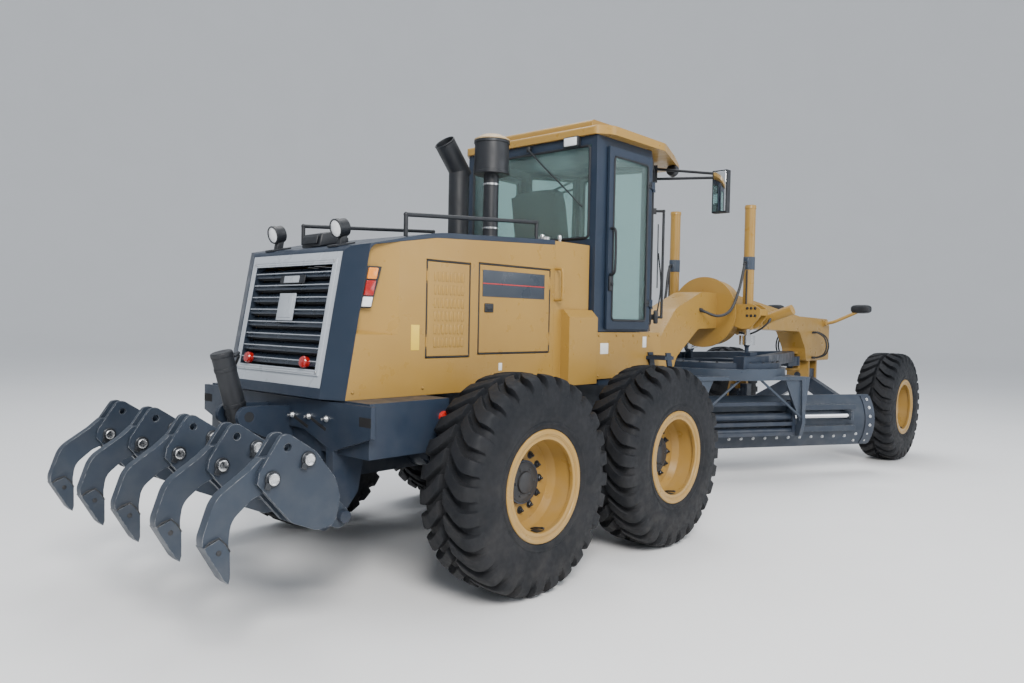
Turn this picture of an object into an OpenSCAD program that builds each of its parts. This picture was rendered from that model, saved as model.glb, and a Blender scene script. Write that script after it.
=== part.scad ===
// Articulated motor grader with a rear ripper, built the way the machine is assembled:
// a rear frame with engine hood, cab, tandem drives and ripper, and a front frame with
// lift saddle, drawbar, circle, moldboard and leaning front axle.
// Millimetres, +X to the front, +Y to the left, +Z up, ground at z = 0.
// Lengthwise places are written from the rear wheel's axle, and at_origin() shifts them
// so that the origin is on the ground under the middle of the machine.

/* [Wheels] */
// Outside diameter of every tyre over its lugs
tyre_od = 1350; // [1250:10:1400]
// Width of every tyre
tyre_w = 445; // [400:5:460]
// Distance between the two axles of one tandem
tandem_base = 1538; // [1500:2:1560]
// Front axle ahead of the rear axle
front_axle_x = 7107; // [7080:1:7140]
// Middle plane of the tyres from the machine's middle
wheel_y = 1127; // [1120:1:1140]
// Radius of the rim's flange
rim_r = 345; // [335:1:350]

/* [Hood] */
// Width of the engine hood
hood_w = 1320; // [1300:5:1340]
// Height of the hood's lower edge
hood_z = 1170; // [1165:5:1180]
// Thickness of hood panels and their doors
panel_t = 20; // [16:2:24]

/* [Cab] */
// Width of the cab
cab_w = 1400; // [1380:5:1440]
// Length of the cab's roof
roof_l = 1660; // [1600:10:1700]
// Height of the cab's roof
roof_z = 3225; // [3200:5:3240]
// Thickness of the cab's posts and frames
post_t = 60; // [50:5:65]

/* [Blade] */
// Length of the moldboard
blade_l = 3658; // [3400:10:3700]
// Height of the moldboard with its cutting edge
blade_h = 580; // [540:5:600]
// Height of the cutting edge over the ground as it parks
blade_z = 285; // [270:5:300]
// Angle of the blade from straight across, right end forward
blade_turn = 60; // [52:1:62]
// Outside radius of the circle
circle_r = 770; // [740:5:790]

/* [Ripper] */
// Number of ripper shanks
shank_n = 5; // [3:2:5]
// Distance between two shanks
shank_pitch = 480; // [440:10:480]
// Thickness of a shank
shank_t = 58; // [50:2:60]

/* [Hidden] */

RIGHT = -1;
LEFT = 1;
yellow = "goldenrod";
dark = "slategray";
black = "dimgray";
pin_gap = 0.3;            // clearance round pins and between turned faces
move_gap = 6;             // clearance between faces that move past each other
fine = 64;
$fn = 48;

tyre_r = tyre_od / 2;
hub_z = 650;              // height of the wheel centres; at_origin() adds what a pressed tyre would lose
ripper_back = 1975.35;    // rearmost point of the ripper behind the rear axle
origin_x = (front_axle_x + tyre_r - ripper_back) / 2;
mid_x = tandem_base;
tandem_x = tandem_base / 2;
tandem_in = 640;          // inner face of a tandem case
tandem_out = 850;         // outer face of a tandem case
spindle_r = 75;
rim_half = 200;           // half the rim's width over its flanges
bead_r = 318;             // radius of the tyre's seat on the rim
dish_y = -10;             // wheel disc's place from the tyre's middle, towards the outside
hub_r = 135;              // hub in the middle of the wheel disc

// A point of the path between neighbours a and c, rounded with radius r in n steps
function unit(v) = v / norm(v);
function round_at(a, b, c, r, n) =
  let (u = unit(a - b), w = unit(c - b), half = acos(u * w) / 2,
       d = r / tan(half), m = b + unit(u + w) * (r / sin(half)),
       p = b + u * d, q = b + w * d,
       s = atan2(p[1] - m[1], p[0] - m[0]), e = atan2(q[1] - m[1], q[0] - m[0]),
       t = e - s > 180 ? e - s - 360 : (e - s < -180 ? e - s + 360 : e - s))
  [for (i = [0:n]) m + r * [cos(s + t * i / n), sin(s + t * i / n)]];
// Outline from rows [x, z, corner radius]
function outline(rows, n = 6) = let (k = len(rows)) [for (i = [0:k - 1])
  let (a = rows[(i + k - 1) % k], b = rows[i], c = rows[(i + 1) % k])
  each (b[2] > 0 ? round_at([a[0], a[1]], [b[0], b[1]], [c[0], c[1]], b[2], n) : [[b[0], b[1]]])];

module at_origin() translate([-origin_x, 0, tyre_r - hub_z]) children();
// Draws the children as they are on the left, or mirrored on the right
module on_side(side) scale([1, side, 1]) children();
module both_sides() for (side = [RIGHT, LEFT]) on_side(side) children();
// Plate in the XZ plane from y to y + t
module side_plate(points, y, t) translate([0, y + t, 0]) rotate([90, 0, 0]) linear_extrude(t) polygon(points);
// Plate in the YZ plane from x to x + t
module cross_plate(points, x, t)
  translate([x, 0, 0]) rotate([90, 0, 90]) linear_extrude(t) polygon(points);
module box(low, high) translate(low) cube(high - low);
module bar(a, b, r) {
  d = b - a;
  translate(a) rotate([0, acos(d[2] / norm(d)), atan2(d[1], d[0])]) cylinder(h = norm(d), r = r);
}
// Bent rod through the points, with a slightly larger ball at each bend
module rod(points, r) {
  for (i = [1:len(points) - 1]) bar(points[i - 1], points[i], r);
  for (i = [1:1:len(points) - 2]) translate(points[i]) sphere(r = r * 1.15);
}
module bar_y(x, z, y0, y1, r) translate([x, y1, z]) rotate([90, 0, 0]) cylinder(h = y1 - y0, r = r, $fn = fine);

// Hood: side view from rows [x, z, corner radius], narrowed by an inset
hood_front = 870;
hood_rear = -1045;        // rear face at the hood's lower edge; it leans forward from there
face_top = [-880, 2060];
face_tilt = atan2(face_top[0] - hood_rear, face_top[1] - hood_z);
corner_x = 62;            // the slanted corner band's reach forward, and where it meets the rear face
corner_y = 500;
band_t = 66;              // depth of the dark band round the rear face
function face_x(z) = hood_rear + (z - hood_z) * tan(face_tilt);
module hood_block(inset) {
  half = hood_w / 2 - inset;
  intersection() {
    side_plate(outline([[hood_rear + inset, hood_z, 0], [face_top[0] + inset, face_top[1] - inset, 60 - inset],
      [-300, 2185 - inset, 1500], [hood_front, 2240 - inset, 0], [hood_front, hood_z, 0]]), -half, 2 * half);
    translate([hood_rear + inset, 0, hood_z]) rotate([0, face_tilt, 0]) translate([0, 0, -400]) linear_extrude(1800)
      polygon([[0, -corner_y + inset / 2], [corner_x, -half], [2600, -half], [2600, half], [corner_x, half],
        [0, corner_y - inset / 2]]);
  }
}
// Pocket for a tail lamp, getting deeper to the rear, with a sloping ledge below
pocket_x = -600;
pocket_slope = 0.2;
ledge_z = 1545;
module lamp_pocket(inset) intersection() {
  linear_extrude(2400) polygon([[pocket_x, hood_w / 2 - inset], [pocket_x - 520, hood_w / 2 - inset - 520 * pocket_slope],
    [pocket_x - 520, hood_w], [pocket_x, hood_w]]);
  cross_plate([[hood_w / 2 + 40, ledge_z - 20 - inset], [hood_w / 2 - 140, ledge_z + 70 - inset],
    [hood_w / 2 - 140, 2300], [hood_w / 2 + 40, 2300]], -1200, 700);
}
// Zone of the dark cap: the hood's top and the band round its rear face
module cap_zone(gap = 0) {
  side_plate(outline([[-1200, 1000, 0], [hood_rear + band_t + gap, 1000, 0], [hood_rear + band_t + gap, hood_z, 0], [face_top[0] + band_t + gap, 2066 - gap, 70],
    [-300, 2150 - gap, 0], [hood_front + 1, 2205 - gap, 0], [hood_front + 1, 2500, 0], [-1200, 2500, 0]]), -1000, 2000);
}
grille_w = 980;
grille_low = 1232;
grille_high = 2030;
// Slab that follows the leaning rear face, from out behind it to deep inside it
module face_slab(half, z0, z1, out, deep) side_plate([[face_x(z0) - out, z0], [face_x(z1) - out, z1],
  [face_x(z1) + deep, z1], [face_x(z0) + deep, z0]], -half, 2 * half);
// Doors in the hood's side: [rear x, front x, low z, high z]
louvre_door = [-370, -10, 1410, 2000];
engine_door = [90, 810, 1425, 2010];
door_t = 6;
door_gap = 14;
hinge_out = 5;            // a hood hinge's axis ahead of its door's edge
hood_hinge_y = hood_w / 2 - 2;
function hood_hinge_zs(d) = [d[2] + 90, d[3] - 90];
module door_zone(d, gap) translate([d[0] - gap, hood_w / 2 - 60, d[2] - gap])
  cube([d[1] - d[0] + 2 * gap, 100, d[3] - d[2] + 2 * gap]);

module hood_cap() color(dark) difference() {
  intersection() { hood_block(0); cap_zone(); }
  hood_block(panel_t);
  face_slab(grille_w / 2 + pin_gap, grille_low - pin_gap, grille_high + pin_gap, 50, 50);
}
module hood_sides() color(yellow) both_sides() difference() {
  intersection() { hood_block(0); box([-1200, 400, 1000], [hood_front, 800, 2400]); }
  difference() { hood_block(panel_t); lamp_pocket(panel_t); }
  lamp_pocket(0);
  cap_zone(pin_gap);
  door_zone(louvre_door, door_gap);
  door_zone(engine_door, door_gap);
}
// Pins on the panel's side of a door's hinge; edge is the door's edge and e points away from it
module hinge_pins(d, edge, e) for (z = hood_hinge_zs(d)) translate([edge, 0, z]) scale([e, 1, 1]) {
  translate([hinge_out, hood_hinge_y, -46]) cylinder(h = 92, r = 4);
  for (low = [-46, 31]) box([hinge_out, hood_hinge_y - 9, low], [30, hood_hinge_y + 1, low + 15]);
}
module hood_side_panels() color(yellow) {
  hood_sides();
  both_sides() {
    hinge_pins(louvre_door, louvre_door[0], -1);
    hinge_pins(engine_door, engine_door[1], 1);
  }
}
// Pressed slots of the louvre door, in rows and columns
slot_rows = 6;
slot_cols = 8;
module louvres(d) for (row = [0:slot_rows - 1], col = [0:slot_cols - 1])
  box([d[0] + 55 + col * 34, hood_w / 2 - 30, d[2] + 55 + row * 83], [d[0] + 65 + col * 34, hood_w / 2 + 20, d[2] + 115 + row * 83]);
module hood_door(d, edge, e, side) color(yellow) on_side(side) difference() {
  union() {
    difference() {
      intersection() { hood_block(0); door_zone(d, 0); }
      hood_block(door_t);
    }
    for (z = hood_hinge_zs(d)) translate([edge, hood_hinge_y, z]) scale([e, 1, 1]) {
      translate([hinge_out, 0, -30]) cylinder(h = 60, r = 7);
      box([-12, -4, -30], [hinge_out, 2, 30]);
    }
  }
  translate([edge + e * hinge_out, hood_hinge_y, d[2]]) cylinder(h = d[3] - d[2], r = 4 + pin_gap);
  if (d == louvre_door) louvres(d);
}
module rear_grille() color("silver") {
  slats = 8;
  difference() {
    union() {
      face_slab(grille_w / 2, grille_low, grille_high, 0, 25);
      face_slab(457, 1300, 1990, 8, 60);
    }
    face_slab(422, 1335, 1955, 60, 90);
  }
  for (i = [0:slats - 1], z = 1350 + i * 76)
    side_plate([[face_x(z) + 4, z], [face_x(z) + 52, z + 44], [face_x(z) + 52, z + 56], [face_x(z) + 4, z + 12]], -423, 846);
}
// Yellow panels between hood and cab, with the box beside them, and the skirt under the cab
module side_panels() color(yellow) both_sides() {
  box([hood_front + pin_gap, hood_w / 2 - panel_t, hood_z], [1290, hood_w / 2, 2235]);
  box([hood_front + pin_gap, 0, 2215], [1290, hood_w / 2, 2235]);
  difference() {
    box([953, min(hood_w / 2 - panel_t, cab_half - 10), hood_z], [1305, box_half, 1734]);
    cross_plate([[box_half + 1, 1674], [box_half + 1, 1735], [box_half - 60, 1735]], 950, 360);
  }
  box([1304, cab_half - 10, cab_low], [cab_front_x - 300, cab_half + 15, cab_sill - 5]);
}
box_half = max(hood_w, cab_w) / 2 + 44;

engine_low = 900 + pin_gap;
module engine_block() color(black) box([-650, -280, engine_low], [700, 280, 1950]);

rail_in = 330;
rail_out = 430;
rail_low = 800;
rail_high = 1150;
rail_front = 2200;
hitch_x = 2700;           // articulation hinge ahead of the rear axle
hitch_r = 60;
rear_plate_x = -1005;
ripper_pivot = [-990, 520];
function step_x(z) = 2325 - (z - 560) * 230 / 840;
trunnion = [-1270, 1050];
module rear_frame() color(dark) {
  both_sides() {
    box([-975, rail_in, rail_low], [rail_front, rail_out, rail_high]);
    box([-975, rail_out, 860], [-380, 880, hood_z - pin_gap]);
    box([900, rail_out - 1, 1100], [960, 655, hood_z - pin_gap]);
    side_plate([[430, rail_low + 10], [560, 520], [980, 520], [1110, rail_low + 10]], rail_in, rail_out - rail_in);
    side_plate(outline([[-975, 1000, 0], [-800, 940, 0], [-796, 792, 80], [-825, 626, 80], [-950, 480, 60],
      [-1065, 425, 45], [-1130, 480, 45], [-1070, 600, 60], [-1005, 760, 0], [-1005, 1000, 0]]), 520, 70);
    bar_y(tandem_x, hub_z, rail_out, tandem_in - 10, 230);
    bar_y(tandem_x, hub_z, tandem_in - 20, tandem_out, 110);
    bar_y(ripper_pivot[0], ripper_pivot[1], 500, 700, 35);
    // cab mounts on the rails
    for (x = [1450, 2350]) box([x - 60, rail_in, rail_high - 1], [x + 60, 700, 1199]);
    box([1390, 640, 1150], [2410, 700, 1199]);
    // entry ladder: two leaning rails and three treads
    for (y = [716, 886]) side_plate([[2290, 560], [2360, 560], [2130, 1400], [2060, 1400]], y, 14);
    for (z = [600, 980, 1340]) box([step_x(z) - 70, 717, z], [step_x(z) + 70, 899, z + 30]);
    box([step_x(1190) - 60, 640, 1180], [step_x(1190) + 60, 717, 1199]);
  }
  box([-975, -rail_in - 1, rail_low], [-935, rail_in + 1, rail_high]);
  for (x = [-560, 600]) box([x, -rail_in - 1, 820], [x + 100, rail_in + 1, 900]);
  bar_y(tandem_x, hub_z, -rail_out - 1, rail_out + 1, 210);
  cross_plate([[-932, 985], [-577, 876], [-286, 980], [286, 980], [577, 876], [932, 985], [932, 1159], [-932, 1159]],
    rear_plate_x, 30);
  // plates that carry the ripper cylinder's trunnion
  both_sides() difference() {
    side_plate(outline([[-976, 860, 0], [-1180, 930, 60], [-1340, 1010, 60], [-1340, 1110, 60], [-1180, 1110, 60],
      [-976, 1100, 0]]), 100, 35);
    bar_y(trunnion[0], trunnion[1], 90, 150, 30 + pin_gap);
  }
  both_sides() {
    for (z = [880, 1004]) box([hitch_ram_pin[0] - 60, rail_out - 1, z], [hitch_ram_pin[0] + 60, hitch_ram_pin[1] + 50, z + 16]);
    translate([hitch_ram_pin[0], hitch_ram_pin[1], 880]) cylinder(h = 140, r = 25);
  }
  // hitch: upper and lower yoke with the hinge pin
  for (z = [700, 1090]) translate([0, 0, z]) linear_extrude(60)
    polygon(concat([[rail_front - 100, -rail_out], [rail_front - 100, rail_out]],
      [for (a = [90:-15:-90]) [hitch_x + 130 * cos(a), 130 * sin(a)]]));
  both_sides() box([rail_front - 100, rail_in, 700], [rail_front, rail_out, rail_high]);
  translate([hitch_x, 0, 690]) cylinder(h = 470, r = hitch_r, $fn = fine);
}

// Cab: plan outline with curved front quarters, glass all round
cab_low = 1200;
cab_sill = 1570;
cab_top = 3090;
cab_half = cab_w / 2;
cab_rear = 1310;
cab_front_x = 2560;
door_x = [1440, 2050];
quarter_x = 2080;         // where the cab's front quarters begin
nose_half = 420;          // half the width of the cab's front
function quarter_at(u, v, z) = let (t = -atan2(cab_half - nose_half, 2560 - quarter_x))
  [quarter_x + u * cos(t) - v * sin(t), cab_half + u * sin(t) + v * cos(t), z];
module on_quarter() translate([quarter_x, cab_half, 0]) rotate([0, 0, -atan2(cab_half - nose_half, 2560 - quarter_x)]) children();
cab_hinge = [2066, cab_half + 34];
cab_hinge_zs = [cab_sill + 220, cab_top - 320];
module cab_plan(inset) polygon([[cab_rear + inset, -cab_half + inset],
  [quarter_x - inset / 4, -cab_half + inset], [2560 - inset, -nose_half + inset / 2], [2560 - inset, nose_half - inset / 2],
  [quarter_x - inset / 4, cab_half - inset], [cab_rear + inset, cab_half - inset]]);
module cab_solid(inset, z0, z1) translate([0, 0, z0]) linear_extrude(z1 - z0) cab_plan(inset);
// Zones of the window and door openings
door_lap = 35;            // a cab door laps over its opening by this
module side_door_zone() box([door_x[0] + door_lap, cab_half - post_t - 20, cab_sill + 20 + door_lap],
  [door_x[1] - door_lap, cab_half + 20, cab_top - 70 - door_lap]);
module window_zones() {
  box([cab_rear - 20, -640, 2290], [cab_rear + 100, 640, cab_top - 70]);
  box([2400, -370, cab_sill + 60], [2700, 370, cab_top - 70]);
  both_sides() on_quarter() box([45, -90, cab_sill + 60], [500, 60, cab_top - 70]);
}
module cab_frame() color(dark) {
  difference() {
    cab_solid(0, cab_sill, cab_top);
    cab_solid(post_t, cab_sill + 40, cab_top - 40);
    window_zones();
    both_sides() side_door_zone();
  }
  // base under the floor, and the pins that the doors turn on
  difference() {
    cab_solid(100, 1199 + pin_gap, cab_sill + 1);
    cab_solid(140, 1190, cab_sill + 2);
  }
  both_sides() for (z = cab_hinge_zs) {
    translate([cab_hinge[0], cab_hinge[1], z - 30]) cylinder(h = 80, r = 8);
    box([cab_hinge[0] - 5, cab_half - 1, z - 30], [cab_hinge[0] + 16, cab_hinge[1] + 10, z - 10]);
  }
}
module cab_door(side) color(dark) on_side(side) difference() {
  union() {
    difference() {
      box([door_x[0], cab_half + 8, cab_sill + 20], [door_x[1], cab_half + 30, cab_top - 70]);
      box([door_x[0] + 60, cab_half, cab_sill + 90], [door_x[1] - 60, cab_half + 40, cab_top - 140]);
    }
    for (z = cab_hinge_zs) {
      translate([cab_hinge[0], cab_hinge[1], z - 9]) cylinder(h = 59, r = 14);
      box([door_x[1] - 20, cab_half + 20, z - 9], [cab_hinge[0], cab_hinge[1] + 8, z + 50]);
    }
  }
  translate([cab_hinge[0], cab_hinge[1], cab_sill]) cylinder(h = 1500, r = 8 + pin_gap);
}
module cab_glass() color("lightblue") {
  box([cab_rear + 20, -639.7, 2290.3], [cab_rear + 26, 639.7, cab_top - 70.3]);
  box([2520, -369.7, cab_sill + 60.3], [2526, 369.7, cab_top - 70.3]);
  both_sides() on_quarter() box([45.3, -40, cab_sill + 60.3], [499.7, -34, cab_top - 70.3]);
}
roof_rear = 1280;
module cab_roof() color(yellow) intersection() {
  union() {
    side_plate(outline([[roof_rear, cab_top + pin_gap, 0], [roof_rear, roof_z - 65, 25], [roof_rear + roof_l - 330, roof_z - 75, 400],
      [roof_rear + roof_l - 40, roof_z - 112, 20], [roof_rear + roof_l, cab_top + pin_gap, 0]]), -800, 1600);
    side_plate(outline([[roof_rear + 60, roof_z - 100, 0], [roof_rear + 60, roof_z, 30], [roof_rear + 760, roof_z, 300],
      [roof_rear + 1250, roof_z - 60, 0], [roof_rear + 1250, roof_z - 100, 0]]), -620, 1240);
  }
  linear_extrude(roof_z + 100) polygon(outline([[roof_rear, -700, 60], [1400, -790, 120], [2150, -790, 200],
    [roof_rear + roof_l, -470, 120], [roof_rear + roof_l, 470, 120], [2150, 790, 200], [1400, 790, 120], [roof_rear, 700, 60]]));
}
module cab_interior() color(black) {
  floor_z = cab_sill + 40;
  box([1560, -90, floor_z + 0.3], [1900, 90, floor_z + 330]);
  box([1480, -250, floor_z + 330], [2000, 250, floor_z + 450]);
  translate([1480, -240, floor_z + 449]) rotate([0, -10, 0]) cube([110, 480, 640]);
  box([2180, -110, floor_z + 0.3], [2330, 110, floor_z + 620]);
  translate([2230, 0, floor_z + 640]) rotate([0, -25, 0]) {
    difference() { cylinder(h = 26, r = 205); translate([0, 0, -1]) cylinder(h = 28, r = 178); }
    translate([-190, -16, 2]) cube([380, 32, 20]);
    translate([0, 0, -120]) cylinder(h = 125, r = 35);
  }
}
module exhaust() color(black) {
  difference() {
    union() {
      translate([stack_x, stack_y, hood_top(stack_x + stack_r)]) cylinder(h = 560, r = stack_r);
      stack_bend() translate([0, 0, -55]) cylinder(h = 300, r = stack_r);
    }
    stack_bend() translate([0, 0, 30]) cylinder(h = 300, r = stack_r - 8);
  }
  translate([bowl_x, bowl_y, hood_top(bowl_x + bowl_pipe_r)]) cylinder(h = 540, r = bowl_pipe_r);
  translate([bowl_x, bowl_y, 2740]) cylinder(h = 260, r = bowl_r);
  translate([bowl_x, bowl_y, 2999]) cylinder(h = 36, r1 = bowl_r + 4, r2 = 80);
}
stack_x = 640;
stack_y = 130;
stack_r = 80;
bowl_x = 690;
bowl_y = -170;
bowl_r = 130;
bowl_pipe_r = 57;
module stack_bend() translate([stack_x, stack_y, 2800]) rotate([0, -40, 0]) children();
// Height just over the hood's top at x, behind or ahead of its bend
function hood_top(x) = pin_gap + (x < -300 ? 2060 + (x + 880) * 125 / 580 : 2185 + (x + 300) * 55 / 1170);
module rails_and_mirrors() color(black) {
  both_sides() {
    rod([[-470, 560, hood_top(-470 + 14)], [-470, 560, 2285], [770, 560, 2365], [770, 560, hood_top(770 + 14)]], 14);
    // mirror arms and head
    on_quarter() box([505, pin_gap, 2920], [550, 34, 3070]);
    for (z = [2950, 3040]) bar(quarter_at(528, 17, z), [2722, 1010, z < 3000 ? 2930 : 2960], 12);
    box([2690, 940, 2620], [2755, 1080, 2990]);
    // grab rail beside the front quarter
    on_quarter() {
      for (z = [1700, 2660]) box([510, pin_gap, z - 25], [550, 34, z + 25]);
      rod([[530, 17, 1700], [530, 100, 1700], [530, 100, 2660], [530, 17, 2660]], 12);
    }
  }
}
function pocket_y(back) = hood_w / 2 - back * pocket_slope;
module rear_lamps() color("white") {
  both_sides() {
    bar([-830, 350, 2175], [-770, 350, 2190], 55);
    translate([-800, 350, hood_top(-785)]) cylinder(h = 80, r = 15);
    intersection() {
      side_plate([[-868, 1700], [-800, 1700], [-735, 1943], [-820, 1943]], 500, 200);
      linear_extrude(2400) polygon([[pocket_x - 400, pocket_y(400) + pin_gap], [pocket_x, pocket_y(0) + pin_gap],
        [pocket_x, pocket_y(0) + 32], [pocket_x - 400, pocket_y(400) + 32]]);
    }
  }
}

// Tandem case: a stadium shape, with spindles for the two wheels
module tandem(side) color(dark) on_side(side) {
  difference() {
    side_plate(concat([for (a = [90:15:270]) [230 * cos(a), hub_z + 230 * sin(a)]],
      [for (a = [-90:15:90]) [tandem_base + 230 * cos(a), hub_z + 230 * sin(a)]]), tandem_in, tandem_out - tandem_in);
    bar_y(tandem_x, hub_z, tandem_in - 10, tandem_out + 10, 110 + pin_gap);
  }
  for (x = [0, tandem_base]) bar_y(x, hub_z, tandem_out - 1, wheel_y + dish_y + 40, hub_r);
}
// Tyre: a ring of straight sides, and two staggered rows of slanted lugs that wrap over the shoulders.
// It is turned so that a corner of a lug stands on the ground.
lug_n = 12;
lug_w = 100;
lug_slant = 15;
lug_mid = 110;            // the slant turns a lug about its line at this distance from the tyre's middle
lug_end = (lug_mid - 14) * sin(lug_slant) + lug_w / 2 * cos(lug_slant);
lug_r = sqrt(tyre_r * tyre_r - lug_end * lug_end);
bore_n = 16;
module ring(r, half, n) rotate([0, 0, 180 / n]) translate([0, 0, -half]) linear_extrude(2 * half)
  polygon([for (i = [0:n - 1]) r * [cos(i * 360 / n), sin(i * 360 / n)]]);
// A ring with flats no nearer than r, for round things that go inside
module bore_ring(r, half) ring((r + pin_gap) / cos(180 / bore_n), half, bore_n);
module lug(s) translate([0, 0, s * lug_mid]) rotate([s * lug_slant, 0, 0]) translate([0, 0, -s * lug_mid])
  side_plate([[560, s * 14], [lug_r, s * 14], [lug_r, s * 160], [lug_r - 81, s * 213], [545, s * 213]],
    -lug_w / 2, lug_w);
module tyre(x, side) color("black")
  translate([x, side * wheel_y, hub_z]) rotate([90, 0, 0]) rotate([0, 0, -90 - atan(lug_end / lug_r)]) difference() {
    union() {
      ring(tyre_r - 50, tyre_w / 2 - 14, 2 * lug_n);
      for (i = [0:lug_n - 1], s = [-1, 1]) rotate([0, 0, (i + (s > 0 ? 0 : 0.5)) * 360 / lug_n]) lug(s);
    }
    bore_ring(bead_r, tyre_w);
    for (s = [-1, 1]) translate([0, 0, s * (164 + tyre_w / 2)]) bore_ring(rim_r, tyre_w / 2);
  }
module rim(x, side) color(yellow) translate([x, side * wheel_y, hub_z]) rotate([-90 * side, 0, 0]) difference() {
  rotate_extrude($fn = fine) polygon([[hub_r + pin_gap, dish_y - 20], [270, dish_y - 20], [290, dish_y - 50],
    [290, -rim_half], [rim_r, -rim_half], [rim_r, -175], [bead_r, -165], [bead_r, 165],
    [rim_r, 175], [rim_r, rim_half], [305, rim_half], [285, dish_y + 60], [260, dish_y + 10],
    [hub_r + pin_gap, dish_y + 10]]);
  for (i = [0:wheel_nuts - 1]) rotate([0, 0, i * 360 / wheel_nuts]) translate([nut_circle_r, 0, dish_y - 40]) cylinder(h = 80, r = 11);
}
wheel_nuts = 12;
nut_circle_r = 178;

// Front frame: gooseneck box beam, saddle ring, bolster over the axle
neck_half = 160;
saddle_x = 4450;
saddle_z = 1780;
lift_y = 460;
axle_pin_z = 980;
ball_x = 6700;
ball_z = 1180;
module front_frame() color(yellow) {
  difference() {
    union() {
      side_plate(outline([[2870, 885, 60], [2870, 1060, 0], [2960, 1300, 150], [3450, 1800, 300], [3985, 1992, 400],
        [4800, 1985, 600], [6600, 1772, 300], [7560, 1750, 60], [7640, 1650, 40], [7640, 1180, 40], [6850, 1180, 40],
        [6800, 1350, 60], [6600, 1575, 100], [4780, 1612, 400], [3920, 1595, 200], [3480, 1300, 200], [3330, 955, 100], [3200, 885, 60]]),
        -neck_half, 2 * neck_half);
      // hitch tongue between the rear frame's yokes
      translate([hitch_x, 0, 780]) cylinder(h = 290, r = 125, $fn = fine);
      box([hitch_x, -120, 790], [2900, 120, 1060]);
      both_sides() {
        for (z = [890, 990]) box([2980, neck_half - 1, z], [3120, hitch_ram_eye[1] + 40, z + 20]);
        translate([hitch_ram_eye[0], hitch_ram_eye[1], 890]) cylinder(h = 120, r = 24);
      }
      // saddle ring round the neck, with arms to the lift cylinders
      translate([saddle_x - 120, 0, saddle_z]) rotate([0, 90, 0]) cylinder(h = 200, r = 365, $fn = fine);
      translate([saddle_x - 145, 0, saddle_z]) rotate([0, 90, 0]) cylinder(h = 26, r = 390, $fn = fine);
      both_sides() {
        for (x = [saddle_x - 97, saddle_x + 73]) cross_plate(outline([[200, saddle_z + 90, 0], [560, saddle_z + 90, 30],
          [645, saddle_z + 40, 30], [645, saddle_z - 40, 40], [530, 1603, 30], [430, 1603, 30], [200, 1640, 0]]), x, 24);
        box([saddle_x - 96, 620, saddle_z - 30], [saddle_x + 96, 644, saddle_z + 38]);
      }
      // plate that carries the shift cylinder's trunnion
      box([saddle_x + 94, shift_pin[1] - 60, shift_pin[2] - 50], [saddle_x + 120, shift_pin[1] + 60, saddle_z + 60]);
      // fork that holds the axle's pin, and the drawbar ball's upper and lower bearing
      for (x = [6960, 7214]) box([x, -150, axle_pin_z - 110], [x + 40, 150, 1181]);
      box([ball_x + 140, -60, ball_z - 125], [ball_x + 200, 60, ball_z + 125]);
      for (z = [ball_z - 125, ball_z + 95]) {
        box([ball_x, -60, z], [ball_x + 200, 60, z + 30]);
        translate([ball_x, 0, z]) cylinder(h = 30, r = 60);
      }
    }
    translate([ball_x, 0, ball_z - 130]) cylinder(h = 260, r = 40 + pin_gap);
    for (y = [-100, 100], z = [1270, 1560]) translate([7590, y, z]) rotate([0, 90, 0]) cylinder(h = 60, r = 11);
    translate([hitch_x, 0, 700]) cylinder(h = 450, r = hitch_r + pin_gap, $fn = fine);
    translate([6900, 0, axle_pin_z]) rotate([0, 90, 0]) cylinder(h = 450, r = 45 + pin_gap, $fn = fine);
    both_sides() bar([saddle_x - 110, lift_y, saddle_z], [saddle_x + 110, lift_y, saddle_z], 30 + pin_gap);
    // room for the heads of the lift rods as they swing
    both_sides() cross_plate([[lift_y - 198, 1480], [lift_y - 146, 1642], [lift_y, 1594], [lift_y + 146, 1642],
      [lift_y + 198, 1480]], saddle_x - 100, 200);
    bar([saddle_x + 90, shift_pin[1], shift_pin[2]], [saddle_x + 130, shift_pin[1], shift_pin[2]], 25 + pin_gap);
  }
}
module head_lamps() color(black) {
  both_sides() {
    box([7400, neck_half + pin_gap, 1640], [7500, neck_half + 50, 1740]);
    bar([7450, neck_half + 25, 1695], [7560, 680, 1900], 24);
    cross_plate(outline([[600, 1852, 44], [820, 1852, 44], [820, 1948, 44], [600, 1948, 44]]), 7510, 90);
  }
}

// Lift cylinders, hung in the saddle
lift_top = 2940;
lift_gland = 1600;
lift_ball = 1430;
module lift_barrel(side) color(yellow) on_side(side) difference() {
  union() {
    translate([saddle_x, lift_y, lift_gland]) cylinder(h = lift_top - lift_gland, r = 57);
    bar([saddle_x - 95, lift_y, saddle_z], [saddle_x + 95, lift_y, saddle_z], 30);
  }
  translate([saddle_x, lift_y, lift_gland - 10]) cylinder(h = 1300, r = 30 + pin_gap);
}
module lift_rod(side) color("silver") on_side(side) {
  translate([saddle_x, lift_y, lift_ball + 86]) cylinder(h = 584, r = 30);
  translate([saddle_x, lift_y, lift_ball]) difference() {
    cylinder(h = 102, r = 84);
    sphere(r = 74);
  }
}

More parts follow.
